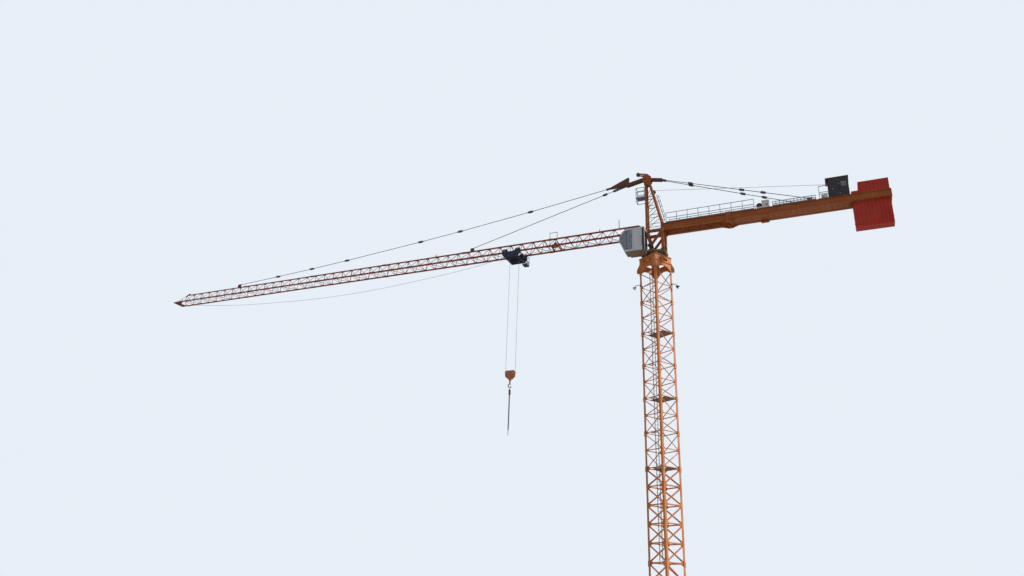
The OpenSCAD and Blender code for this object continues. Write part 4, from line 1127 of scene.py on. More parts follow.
@dataclass
class SlewingGear(Assembly):
    """Support, slewing ring, turntable and slewing motors."""

    ring_r: float = 0.080
    teeth: int = 84
    motors: tuple[float, float] = (0.106, 0.046)
    fins: int = 16
    gearbox: tuple[tuple[float, float], ...] = (
        (0.0222, 0), (0.0230, 0.001), (0.0230, 0.007), (0.0175, 0.010), (0.0168, 0.030), (0.0175, 0.033),
        (0.0175, 0.042), (0.0125, 0.0445),
    )
    motor: tuple[tuple[float, float], ...] = (
        (0.0118, 0.0440), (0.0124, 0.0450), (0.0124, 0.0800), (0.0132, 0.0805), (0.0132, 0.0860),
        (0.0100, 0.0880), (0, 0.0885),
    )
    support_circle: tuple[float, int] = (0.0925, 40)
    turntable_circle: tuple[float, int] = (0.062, 36)
    turntable_side: float = 0.070

    def build(self) -> None:
        """Build the teeth of the fixed ring, and the gearboxes and motors with fins and bolts."""
        teeth = Mesh(finish="dark_steel")
        r0, r1 = self.ring_r - 0.0004, self.ring_r + 0.0045
        tooth = [(r0, -0.0022), (r1, -0.0010), (r1, 0.0010), (r0, 0.0022)]
        for k in range(self.teeth):
            teeth.place = Matrix.Rotation(2 * math.pi * k / self.teeth, 4, "Z")
            teeth.plate(tooth, Axis.Z, SUPPORT_TOP + 0.005, SUPPORT_TOP + 0.0195)
        self.finish(teeth, "slewing_ring_teeth", Body.MAST, "dark_steel")
        x, y = self.motors
        gear = Mesh(finish="dark_paint")
        for side in SIDES:
            centre = (x, side * y, TOWER_Z)
            gear.lathe(centre, Axis.Z, self.gearbox, 32)
            gear.lathe(centre, Axis.Z, self.motor, 28)
            for k in range(self.fins):
                turn = Matrix.Rotation(2 * math.pi * k / self.fins, 4, "Z")
                gear.place = Matrix.Translation(centre) @ turn
                gear.box((0.0120, -0.0004, 0.047), (0.0142, 0.0004, 0.078))
            gear.place = Matrix.Identity(4)
            gear.box((x + 0.011, side * y - 0.006, TOWER_Z + 0.056),
                     (x + 0.021, side * y + 0.006, TOWER_Z + 0.070))
            gear.finish = "galvanised"
            for spot in ring((x, side * y, TOWER_Z + 0.0072), Axis.Z, 0.0200, 8, 22.5):
                gear.bolt(spot, (0, 0, 1), 0.0026)
            gear.finish = "dark_paint"
        self.finish(gear, "slewing_gearboxes", Body.UPPER, "dark_paint", bevel=0.0002)

    def dress(self) -> None:
        """Coat the nodes and add bolts, lug pins and the ribs under the turntable."""
        self.coat("mast_paint", "slewing_support")
        self.coat("dark_steel", "slewing_ring")
        self.coat("khaki_paint", "turntable")
        self.coat("dark_paint", "slewing_motors")
        self.support()
        self.turntable()

    def support(self) -> None:
        """Add the bolts and lug pins of the fixed support."""
        mesh = Mesh(finish="galvanised")
        radius, count = self.support_circle
        for spot in ring((0, 0, SUPPORT_TOP), Axis.Z, radius, count):
            mesh.bolt(spot, (0, 0, 1), 0.0036)
        diagonal = math.sqrt(0.5)
        reach = (MAST_W / math.sqrt(2) + 0.014) * diagonal
        pin = Vector((-reach, reach, MAST_TOP + 0.017))
        half_pin = Vector((diagonal, diagonal, 0)) * 0.010
        for corner in range(4):
            mesh.place = quarter_turn(corner)
            mesh.finish = "dark_steel"
            mesh.rod(pin - half_pin, pin + half_pin, 0.0055, 20)
            mesh.finish = "galvanised"
            for y in (-0.080, -0.048, -0.016, 0.016, 0.048, 0.080):
                mesh.bolt((-MAST_W / 2, y, SUPPORT_TOP - 0.006), (-1, 0, 0), 0.0036)
            for z in (0.050, 0.064, 0.092, 0.106):
                for side in SIDES:
                    mesh.bolt((-MAST_W / 2, side * 0.093, MAST_TOP + z), (-1, 0, 0), 0.0034)
        self.finish(mesh, "support_bolts", Body.MAST, "galvanised")

    def turntable(self) -> None:
        """Add the bolts and ribs of the turntable."""
        mesh = Mesh(finish="galvanised")
        radius, count = self.turntable_circle
        for spot in ring((0, 0, TOWER_Z), Axis.Z, radius, count):
            mesh.bolt(spot, (0, 0, 1), 0.0034)
        for side in SIDES:
            for k in range(14):
                spot = (-0.100 + 0.0165 * k, side * self.turntable_side, TURNTABLE_Z + 0.0125)
                mesh.bolt(spot, (0, side, 0), 0.0030)
        mesh.finish = "khaki_paint"
        for x in (-0.095, -0.060, 0.060, 0.095, 0.120):
            mesh.box((x - 0.0015, -0.066, TURNTABLE_Z - 0.006), (x + 0.0015, 0.066, TURNTABLE_Z))
        self.finish(mesh, "turntable_bolts", Body.UPPER, "galvanised")


@dataclass
class SlewingTower(Assembly):
    """Side frames above the turntable."""

    frame_y: float = 0.062
    strut: float = 0.024
    knots: tuple[tuple[float, float, float], ...] = (
        (0.022, JIB_Z - 0.150, 0.030), (0.060, JIB_Z, 0.026), (-0.092, JIB_Z, 0.026))
    feet: tuple[float, float] = (-0.092, 0.022)
    foot_half: float = 0.018
    foot_t: float = 0.004
    plate_t: float = 0.002
    bolt: float = 0.0034

    def dress(self) -> None:
        """Coat the tower and add its knot plates, foot plates and bolts."""
        self.coat("upper_paint", "slewing_tower")
        mesh = Mesh(finish="upper_paint")
        bolts = Mesh(finish="galvanised")
        h, top = self.foot_half, TOWER_Z + self.foot_t
        for side in SIDES:
            face = side * (self.frame_y + self.strut / 2)
            outer = face + side * self.plate_t
            low, high = sorted((face, outer))
            for x, z, r in self.knots:
                outline = [(x + r * math.cos(a), z + r * 0.8 * math.sin(a))
                           for a in (math.radians(22.5 + 45 * k) for k in range(8))]
                mesh.plate(outline, Axis.Y, low, high)
                for a in (math.radians(45 * k) for k in range(8)):
                    bolts.bolt((x + 0.72 * r * math.cos(a), outer, z + 0.56 * r * math.sin(a)),
                               (0, side, 0), self.bolt)
            y = face - side * self.strut / 2
            for x in self.feet:
                mesh.box((x - h, y - h, TOWER_Z), (x + h, y + h, top))
                for dx in (-0.015, 0.015):
                    for dy in (-0.015, 0.015):
                        bolts.bolt((x + dx, y + dy, top), (0, 0, 1), self.bolt)
        self.finish(mesh, "tower_knot_plates", Body.UPPER, "upper_paint", bevel=0.0004)
        self.finish(bolts, "tower_bolts", Body.UPPER, "galvanised")


@dataclass
class Cathead(Assembly):
    """Cathead with its apex plates, links, pins, platform and ladder."""

    pins: tuple[tuple[float, float, float], ...] = (
        (0.072, 0.605, 0.026), (0.020, 0.591, 0.026), (0.136, 0.671, 0.026),
        (0.245, 0.570, 0.020), (-0.092, 0.567, 0.020), (0.240, 0.645, 0.009), (0.412, 0.572, 0.012),
    )
    apex: Point = (0.136, 0.0, JIB_Z + 0.671)
    floor_z: float = 0.395
    floor_x: tuple[float, float] = (0.0723, 0.1583)
    floor_y: float = 0.034
    kick_board: tuple[float, float] = (0.001, 0.014)

    def dress(self) -> None:
        """Coat the nodes, then add pin heads with cotters, the apex's bolts and the platform."""
        self.coat("upper_paint", "cathead", "apex_head")
        self.coat("brown_paint", "head_links")
        self.coat("dark_steel", "apex_pulley")
        self.coat("blue_grey_paint", "head_access")
        mesh = Mesh(finish="dark_steel")
        for x, dz, half in self.pins:
            z = JIB_Z + dz
            for side in SIDES:
                y = side * half
                mesh.disc((x, y, z), Axis.Y, 0.0064, 0.0022, 24)
                cotter = y - side * 0.0022
                mesh.rod((x - 0.0052, cotter, z - 0.0015), (x + 0.0052, cotter, z + 0.0015), 0.0007, 6)
        for spot in ring(self.apex, Axis.Y, 0.013, 12):
            mesh.across(spot, 0.0081, 0.0022, 10)
        self.finish(mesh, "head_pin_plates", Body.UPPER, "dark_steel")
        self.platform()

    def platform(self) -> None:
        """Add the grating and kick-boards of the head platform."""
        floor = Mesh(finish="galvanised")
        x0, x1 = self.floor_x
        half = self.floor_y
        z = JIB_Z + self.floor_z + 0.003
        for x in spread(x0 + 0.003, x1 - 0.003, 20):
            floor.strip((x, -half + 0.004, z), (x, half - 0.004, z), 0.0008, 0.0024)
        for y in spread(0.006 - half, half - 0.006, 8):
            floor.rod((x0 + 0.002, y, z), (x1 - 0.002, y, z), 0.0005, 6)
        z += 0.006
        for side in SIDES:
            y = side * (half - 0.0005)
            floor.strip((x0, y, z), (x1, y, z), *self.kick_board)
        floor.strip((x1 - 0.0005, -half, z), (x1 - 0.0005, half, z), *self.kick_board)
        self.finish(floor, "head_platform_grating", Body.UPPER, "galvanised")


@dataclass
class Cab(Assembly):
    """Driver's cab: seals, panes, door, roof edge, seat and controls round its shell."""

    x: float = 0.050
    y0: float = 0.078
    y1: float = 0.193
    top: float = JIB_Z - 0.010
    length: float = 0.240
    height: float = 0.235
    nose: float = 0.060
    pane_t: float = 0.0008
    seal_r: float = 0.0016
    bar_r: float = 0.0014
    front_edge: float = 0.0105

    @property
    def bottom(self) -> float:
        """Level of the cab's underside."""
        return self.top - self.height

    @property
    def walls(self) -> tuple[tuple[float, int], ...]:
        """The two side walls and the way that each one faces."""
        return (self.y0, -1), (self.y1, 1)

    def outline(self, inset: float) -> list[tuple[float, float]]:
        """Side outline, moved inwards, in places of the crane."""
        n, h, d = self.length - self.nose, self.height, inset
        points = [(d, d), (n + 0.008 - d * 0.6, d), (self.length - d, h * 0.5), (self.length - d, h * 0.68),
                  (n - d * 0.4, h - d), (d, h - d)]
        return [(self.x + x, self.top - h + z) for x, z in points]

    def window(self) -> list[tuple[float, float]]:
        """Outline of the side window's opening."""
        n, h, d = self.length - self.nose, self.height, 0.012
        low, x0 = 0.026, self.length * 0.5
        slope = (self.length - n - 0.008) / (h * 0.5)
        points = [(x0, low), (n + 0.008 - d * 0.6 + slope * (low - d), low), (self.length - d, h * 0.5),
                  (self.length - d, h * 0.68), (n - d * 0.4 + 0.004, h - 0.016), (x0, h - 0.016)]
        return [(self.x + x, self.top - h + z) for x, z in points]

    def build(self) -> None:
        """Build the panes, the seals round them and the inside."""
        glass = Mesh(finish="window")
        seal = Mesh(finish="black_rubber")
        self.side_windows(glass, seal)
        self.front_windows(glass, seal)
        panes = self.finish(glass, "cab_panes", Body.UPPER, "window")
        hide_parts("cab_glazing")
        self.finish(seal, "cab_window_seals", Body.UPPER, "dark_paint")
        self.inside()

    def side_windows(self, glass: Mesh, seal: Mesh) -> None:
        """Add the side panes with their seals and mullions."""
        shown = self.window()
        cx, cz = sum(x for x, _ in shown) / 6, sum(z for _, z in shown) / 6
        grown = [(cx + (x - cx) * 1.02, cz + (z - cz) * 1.02) for x, z in shown]
        mullion = self.x + self.length * 0.70
        for y, out in self.walls:
            inner = y - out * 0.0012
            glass.plate(grown, Axis.Y, *sorted((inner, inner - out * self.pane_t)))
            face = y + out * 0.0002
            seal.tube([(x, face, z) for x, z in shown], self.seal_r, 8, loop=True)
            seal.rod((mullion, face, self.bottom + 0.027), (mullion, face, self.top - 0.017), self.bar_r, 8)

    def front_windows(self, glass: Mesh, seal: Mesh) -> None:
        """Add the panes and seals of the nose."""
        front = self.outline(0.0015)
        middle = (self.y0 + self.y1) / 2
        y0, y1 = self.y0 + self.front_edge, self.y1 - self.front_edge
        for (xa, za), (xb, zb) in zip(front[1:4], front[2:5]):
            a, b = Vector((xa, 0, za)), Vector((xb, 0, zb))
            lift = (b - a).normalized() * 0.004
            a, b = a + lift, b - lift
            across = Vector((0, middle, 0))
            glass.strip(a + across, b + across, 0.0962, self.pane_t, up=(1, 0, 0))
            for y in (y0, y1):
                shift = Vector((0.001, y, 0))
                seal.rod(a + shift, b + shift, 0.0015, 8)
            for end in (a, b):
                seal.rod(end + Vector((0.001, y0, 0)), end + Vector((0.001, y1, 0)), 0.0015, 8)

    def inside(self) -> None:
        """Build the seat and the two consoles with their levers."""
        mesh = Mesh(finish="seat_cover")
        z = self.bottom + 0.003
        x, y = self.x + 0.110, (self.y0 + self.y1) / 2
        mesh.box((x - 0.022, y - 0.022, z + 0.042), (x + 0.024, y + 0.022, z + 0.052))
        mesh.box((x - 0.030, y - 0.020, z + 0.050), (x - 0.020, y + 0.020, z + 0.110))
        mesh.box((x - 0.028, y - 0.012, z + 0.112), (x - 0.020, y + 0.012, z + 0.128))
        mesh.finish = "dark_paint"
        mesh.rod((x, y, z), (x, y, z + 0.042), 0.010, 20)
        for side in SIDES:
            arm = y + side * 0.034
            mesh.box((x - 0.010, arm - 0.008, z), (x + 0.040, arm + 0.008, z + 0.064))
            mesh.rod((x + 0.026, arm, z + 0.064), (x + 0.030, arm, z + 0.082), self.bar_r, 8)
            mesh.disc((x + 0.0305, arm, z + 0.084), Axis.Z, 0.0036, 0.0056, 16)
        self.finish(mesh, "cab_seat_and_controls", Body.UPPER, "dark_paint", bevel=0.0015)

    def dress(self) -> None:
        """Coat the shell and add side panels, roof edge, rear door, floor plate, wiper and grab rails."""
        self.coat("white_paint", "cab_shell")
        self.coat("khaki_paint", "cab_platform")
        bottom, top, x0 = self.bottom, self.top, self.x
        front = x0 + self.length - self.nose
        skin = Mesh(finish="white_paint")
        roof = [(x0 - 0.003, top), (front + 0.010, top), (front + 0.006, top + 0.004),
                (x0 - 0.003, top + 0.004)]
        skin.plate(roof, Axis.Y, self.y0 - 0.003, self.y1 + 0.003)
        for y, out in self.walls:
            skin.leaf(y, out * 0.0012, (x0 + 0.034, bottom + 0.012), (x0 + 0.112, top - 0.010))
        self.finish(skin, "cab_roof_edge_and_side_panels", Body.UPPER, "white_paint", bevel=0.0008)
        mesh = Mesh(finish="dark_paint")
        rail = x0 + 0.026
        for y, out in self.walls:
            mesh.leaf(y, out * 0.0014, (x0 + 0.003, bottom + 0.004), (x0 + 0.022, top - 0.006))
            off = y + out * 0.005
            mesh.rod((rail, off, bottom + 0.050), (rail, off, bottom + 0.150), self.bar_r, 8)
            for z in (0.050, 0.150):
                mesh.rod((rail, y, bottom + z), (rail, off, bottom + z), self.bar_r, 8)
        mesh.box((x0 - 0.0014, self.y0 + 0.012, bottom + 0.008), (x0, self.y1 - 0.012, top - 0.020))
        slat_x, slat_z = x0 - 0.003, bottom + 0.150
        mesh.louvres((slat_x, self.y0 + 0.030, slat_z), (slat_x, self.y1 - 0.030, slat_z),
                     9, 0.006, (0.004, 0.0012))
        mesh.finish = "khaki_paint"
        mesh.box((x0 + 0.001, self.y0 - 0.001, bottom - 0.0002),
                 (front + 0.007, self.y1 + 0.001, bottom + 0.004))
        for k in range(5):
            x = x0 + 0.020 + 0.040 * k
            mesh.box((x, self.y0 + 0.004, bottom - 0.0002), (x + 0.003, self.y1 - 0.004, bottom + 0.001))
        mesh.finish = "black_rubber"
        wiper_x = x0 + self.length + 0.001
        foot, end = Vector((wiper_x, 0.136, bottom + 0.118)), Vector((wiper_x, 0.150, bottom + 0.156))
        mesh.rod(foot, end, 0.0009, 6)
        mesh.rod(end - Vector((0, 0.020, 0.020)), end + Vector((0, 0.010, 0.006)), 0.0012, 6)
        self.finish(mesh, "cab_fittings", Body.UPPER, "dark_paint", bevel=0.0003)


@dataclass
class Jib(Assembly):
    """Lattice sections of the jib with their knots, joints, trolley winch, lamp and tip."""

    plate_t: float = 0.0014
    drum: Point = (TROLLEY_WINCH_X + 0.040, 0.0, JIB_Z + 0.0425)
    drum_flange: float = 0.0172
    motor: tuple[tuple[float, float], ...] = ((0.010, 0), (0.011, -0.004), (0.011, -0.022), (0.009, -0.026))
    lamp: Point = (2.362, 0.0, JIB_Z + JIB_H + 0.0128)
    lens: tuple[tuple[float, float], ...] = ((0.0046, 0.0005), (0.0049, 0.003), (0.0049, 0.010),
                                             (0.0040, 0.0135), (0.0015, 0.0147), (0, 0.0149))

    def chord(self, section: int) -> float:
        """Width of the chords in one section."""
        return 0.013 - 0.0007 * section

    def build(self) -> None:
        """Build the plates at the knots of the lacing and the return run of the trolley's rope."""
        knots = Mesh(finish="jib_paint")
        half_t, high = self.plate_t / 2, JIB_Z + JIB_H
        for section in range(JIB_SECTIONS):
            w = self.chord(section)
            x0 = JIB_START + section * SECTION_LEN
            for panel in range(PANELS):
                x = x0 + panel * PANEL
                if panel:
                    outline = [(x - 0.013, JIB_Z + w * 0.3), (x + 0.013, JIB_Z + w * 0.3),
                               (x + 0.007, JIB_Z + w / 2 + 0.009), (x - 0.007, JIB_Z + w / 2 + 0.009)]
                    for y in (-JIB_W / 2, JIB_W / 2):
                        knots.plate(outline, Axis.Y, y - half_t, y + half_t)
                top = x + PANEL / 2
                outline = [(top - 0.014, high - w * 0.3), (top + 0.014, high - w * 0.3),
                           (top + 0.007, high - w / 2 - 0.010), (top - 0.007, high - w / 2 - 0.010)]
                for y in (-0.0030, 0.0030):
                    knots.plate(outline, Axis.Y, y - half_t, y + half_t)
        self.finish(knots, "jib_knot_plates", Body.UPPER, "jib_paint")
        rope = Mesh(finish="steel_rope")
        x, z = TROLLEY_WINCH_X, PULL_ROPE_Z
        rope.tube([(x + 0.150, 0.020, z), (TIP_PULLEY_X, 0.012, z)], PULL_ROPE_R, 6)
        rope.tube(arc((TIP_PULLEY_X, 0.012, z + 0.010), 0.010, 270, 450, 12), PULL_ROPE_R, 6)
        rope.tube([(x - 0.060, 0.020, z), (x + 0.040, 0.010, z + 0.016)], PULL_ROPE_R, 6)
        self.finish(rope, "trolley_rope_return", Body.UPPER, "steel_rope")

    def dress(self) -> None:
        """Coat the nodes and add section pins, the winch's details and the lamp's lens."""
        self.coat("jib_paint", *(f"jib_section_{i}" for i in range(1, JIB_SECTIONS + 1)))
        self.coat("brown_paint", "jib_tip", "jib_fittings")
        self.coat("upper_paint", "trolley_winch")
        self.joints()
        self.winch()
        lens = Mesh(finish="red_paint")
        lens.lathe(self.lamp, Axis.Z, self.lens, 24)
        self.finish(lens, "jib_lamp_lens", Body.UPPER, "red_paint")

    def joints(self) -> None:
        """Add bolts, pins and dark seams where two sections meet."""
        pins = Mesh(finish="galvanised")
        meetings = [(JIB_START + section * SECTION_LEN, section) for section in range(1, JIB_SECTIONS)]
        for x, section in meetings:
            for dx in (-0.018, -0.008, 0.008, 0.018):
                w = self.chord(section - 1 if dx < 0 else section)
                for side in SIDES:
                    pins.bolt((x + dx, side * (w / 2 + 0.002), JIB_Z + JIB_H), (0, side, 0), 0.0040)
                    pins.bolt((x + dx, side * JIB_W / 2, JIB_Z - w / 2 - 0.004), (0, 0, -1), 0.0036)
            for side in SIDES:
                pins.across((x, side * JIB_W / 2, JIB_Z + 0.001), 0.010, 0.0032)
        pins.finish = "dark_paint"
        for x, section in meetings:
            w = self.chord(section - 1)
            pins.block((x, 0, JIB_Z + JIB_H), (0.0012, w + 0.0046, w + 0.0046))
            for side in SIDES:
                pins.block((x, side * JIB_W / 2, JIB_Z - w / 4), (0.0012, w + 0.0006, w / 2 + 0.009))
        self.finish(pins, "jib_section_pins", Body.UPPER, "galvanised")

    def winch(self) -> None:
        """Add the trolley winch's drum with its flanges and windings, its motor and a rail."""
        x, _, z = self.drum
        mesh = Mesh(finish="dark_steel")
        for y in (-self.drum_flange, self.drum_flange):
            mesh.disc((x, y, z), Axis.Y, 0.0165, 0.0022, 32)
        for k in range(14):
            mesh.disc((x, -0.0130 + 0.0020 * k, z), Axis.Y, 0.0136, 0.0016, 28)
        mesh.finish = "dark_paint"
        mesh.lathe((x, -0.018, z), Axis.Y, self.motor, 28)
        mesh.finish = "white_paint"
        start, end = TROLLEY_WINCH_X + 0.002, TROLLEY_WINCH_X + 0.078
        rail_y, rail_z = JIB_W / 2, JIB_Z + 0.0765
        mesh.rod((start, rail_y, rail_z), (end, rail_y, rail_z), 0.0014, 8)
        self.finish(mesh, "trolley_winch_drum", Body.UPPER, "dark_paint", bevel=0.0002)


@dataclass
class Ties(Assembly):
    """Ties of the jib and of the counter-jib."""

    long_fork: Point = (0.412, 0.0, JIB_Z + 0.572)
    long_end: float = 5.050
    long_sag: float = 0.050
    long_couplings: tuple[float, ...] = (1.280, 2.090, 2.570, 3.520, 4.000, 4.480)
    short_fork: Point = (0.245, 0.0, JIB_Z + 0.570)
    short_end: float = 1.930
    low: float = JIB_H + 0.034
    rear_fork: Point = (-0.128, 0.008, JIB_Z + 0.554)
    rear_x: float = -1.400
    plate_y: float = 0.0085
    pin: tuple[float, float] = (0.0095, 0.0030)

    def height(self, x: float) -> float:
        """Height of the long tie above the bottom chords."""
        t = (x - self.long_fork[0]) / (self.long_end - self.long_fork[0])
        rise = self.long_fork[2] - JIB_Z
        return rise + (self.low - rise) * t - 4 * self.long_sag * t * (1 - t)

    def plates(self, mesh: Mesh, start: Point, end: Point, tall: float) -> None:
        """Add the two side plates of a coupling between two points of its tie."""
        for y in (-self.plate_y, self.plate_y):
            shift = Vector((0, y, 0))
            mesh.strip(Vector(start) + shift, Vector(end) + shift, 0.0018, tall)

    def dress(self) -> None:
        """Coat the ties, then add side plates and pins at their couplings, forks and shoes."""
        self.coat("tie_paint", "long_tie", "short_tie", "rear_ties")
        mesh = Mesh(finish="dark_steel")
        self.long_tie(mesh)
        self.short_tie(mesh)
        self.rear_ties(mesh)
        for x in (self.long_end, self.short_end):
            mesh.across((x, 0, JIB_Z + self.low), 0.010, 0.0050, 20)
        self.finish(mesh, "tie_pins", Body.UPPER, "dark_steel", bevel=0.0003)

    def long_tie(self, mesh: Mesh) -> None:
        """Add plates and pins along the long tie."""
        for x in self.long_couplings:
            x0, x1 = x - 0.023, x + 0.023
            self.plates(mesh, (x0, 0, JIB_Z + self.height(x0)), (x1, 0, JIB_Z + self.height(x1)), 0.0170)
        for coupling in (*self.long_couplings, self.long_end):
            for x in (coupling - 0.024, coupling + 0.024):
                if x < self.long_end + 0.010:
                    mesh.across((x, 0, JIB_Z + self.height(min(x, self.long_end))), *self.pin)

    def short_tie(self, mesh: Mesh) -> None:
        """Add plates and pins near the short tie's fork."""
        a, b = Vector(self.short_fork), Vector((self.short_end, 0, JIB_Z + self.low))
        along = (b - a).normalized()
        for d in (0.130, 0.240):
            self.plates(mesh, a + along * (d - 0.022), a + along * (d + 0.022), 0.0160)
        for d in (0.115, 0.145, 0.225, 0.255):
            mesh.across(a + along * d, *self.pin)

    def rear_ties(self, mesh: Mesh) -> None:
        """Add plates and pins along both rear ties, and the pins of their feet."""
        for side in SIDES:
            a = Vector((self.rear_fork[0], side * self.rear_fork[1], self.rear_fork[2]))
            b = Vector((self.rear_x, side * GIRDER_Y, DECK_Z + 0.026))
            along = (b - a).normalized()
            for share in (0.19, 0.555, 0.70):
                spot = a.lerp(b, share)
                self.plates(mesh, spot - along * 0.021, spot + along * 0.021, 0.0165)
                for shift in (-0.016, 0.016):
                    mesh.across(spot + along * shift, *self.pin)
            mesh.across((self.rear_x, side * GIRDER_Y, DECK_Z + 0.022), 0.010, 0.0060, 20)


@dataclass
class CounterJib(Assembly):
    """Girders, deck and railings behind the mast."""

    splice_x: float = -0.700
    deck_end: float = -1.714
    planks: int = 42
    gap: float = 0.0008
    rail_start: float = -0.134
    rail_stop: float = -0.930
    rail_span: tuple[float, float] = (-1.090, -1.450)
    rail_h: float = 0.046
    wire_r: float = 0.0004

    def build(self) -> None:
        """Build deck planks, joists and the flares above and below the girders at the splice."""
        deck = Mesh(finish="brown_paint")
        z = JIB_Z + 0.002
        pitch = (self.splice_x - self.deck_end) / self.planks
        for k in range(self.planks):
            x = self.splice_x - pitch * (k + 0.5)
            deck.block((x, 0, z + 0.0012), (pitch - self.gap, 0.105, 0.0024))
        deck.finish = "upper_paint"
        for k in range(0, self.planks + 1, 2):
            x = self.splice_x - pitch * k
            deck.block((min(x, self.splice_x - 0.030), 0, z - 0.0055), (0.004, 0.106, 0.005))
        self.finish(deck, "counter_jib_deck_and_joists", Body.UPPER, "upper_paint", bevel=0.0002)
        flares = Mesh(finish="upper_paint")
        low = JIB_Z - 0.005
        for side in SIDES:
            y0, y1 = side * GIRDER_Y - 0.0035, side * GIRDER_Y + 0.0035
            for way in SIDES:
                near, far = self.splice_x + way * 0.0255, self.splice_x + way * 0.086
                for high, root in ((DECK_Z + 0.014, DECK_Z), (low - 0.020, low)):
                    inside = root - math.copysign(0.002, high - root)
                    flares.plate([(near, high), (far, root), (near, inside)], Axis.Y, y0, y1)
        self.finish(flares, "splice_flares", Body.UPPER, "upper_paint", bevel=0.0003)

    def dress(self) -> None:
        """Coat the nodes and add splice bolts, wire panels and kick-boards."""
        self.coat("upper_paint", "counter_jib_inner", "counter_jib_outer")
        self.coat("blue_grey_paint", "walkways")
        bolts = Mesh(finish="upper_paint")
        for side in SIDES:
            y = side * (GIRDER_Y + 0.012)
            for dx in (-0.019, -0.009, 0.009, 0.019):
                for k in range(7):
                    bolts.bolt((self.splice_x + dx, y, JIB_Z - 0.018 + 0.0135 * k), (0, side, 0), 0.0038)
        self.finish(bolts, "splice_bolts", Body.UPPER, "upper_paint")
        wire = Mesh(finish="galvanised")
        x0, x1 = self.rail_span
        for side in SIDES:
            y = side * (GIRDER_Y + 0.010)
            for x in spread(x0, x1, 45):
                wire.rod((x, y, DECK_Z + 0.002), (x, y, DECK_Z + self.rail_h - 0.003), self.wire_r, 4)
            for k in range(6):
                z = DECK_Z + 0.004 + 0.0075 * k
                wire.rod((x0, y, z), (x1, y, z), self.wire_r, 4)
            wire.finish = "blue_grey_paint"
            board_y, board_z = y - side * 0.004, DECK_Z + 0.006
            for start, end in ((self.rail_start, self.rail_stop), (x0, x1)):
                wire.strip((start, board_y, board_z), (end, board_y, board_z), 0.0010, 0.012)
            wire.finish = "galvanised"
        self.finish(wire, "railing_panels", Body.UPPER, "blue_grey_paint")


@dataclass
class Cabinet(Assembly):
    """Electric cabinet and cable drum on the counter-jib."""

    x: float = -1.058
    y: float = -0.010
    z: float = DECK_Z + 0.016
    size: tuple[float, float, float] = (0.060, 0.060, 0.066)
    drum: Point = (0.084, 0.030, 0.026)

    def dress(self) -> None:
        """Coat the node, then add roof, doors, louvres and handles, and the drum with its cable."""
        self.coat("white_paint", "counter_jib_cabinet")
        sx, sy, sz = self.size
        x0, top = self.x, self.z + sz
        faces = ((self.y, -1), (self.y + sy, 1))
        mesh = Mesh(finish="white_paint")
        mesh.box((x0 - 0.003, self.y - 0.003, top), (x0 + sx + 0.003, self.y + sy + 0.003, top + 0.003))
        for y, out in faces:
            for k in range(2):
                x = x0 + 0.002 + 0.029 * k
                mesh.leaf(y, out * 0.0012, (x, self.z + 0.004), (x + 0.027, top - 0.004))
        mesh.finish = "dark_paint"
        for y, out in faces:
            slat, handle = y + out * 0.0016, y + out * 0.0024
            mesh.louvres((x0 + 0.008, slat, self.z + 0.012), (x0 + 0.024, slat, self.z + 0.012),
                         7, 0.0032, (0.0012, 0.0010))
            mesh.rod((x0 + 0.0265, handle, self.z + 0.026), (x0 + 0.0265, handle, self.z + 0.042), 0.0011, 8)
        x, y, z = (a + b for a, b in zip((self.x, self.y, self.z), self.drum))
        for side in SIDES:
            mesh.disc((x, y + side * 0.0215, z), Axis.Y, 0.0272, 0.0018, 40)
        mesh.finish = "black_rubber"
        for k in range(11):
            mesh.disc((x, y - 0.018 + 0.0036 * k, z), Axis.Y, 0.0264, 0.0034, 36)
        self.finish(mesh, "cabinet_doors_and_drum", Body.UPPER, "white_paint", bevel=0.0003)


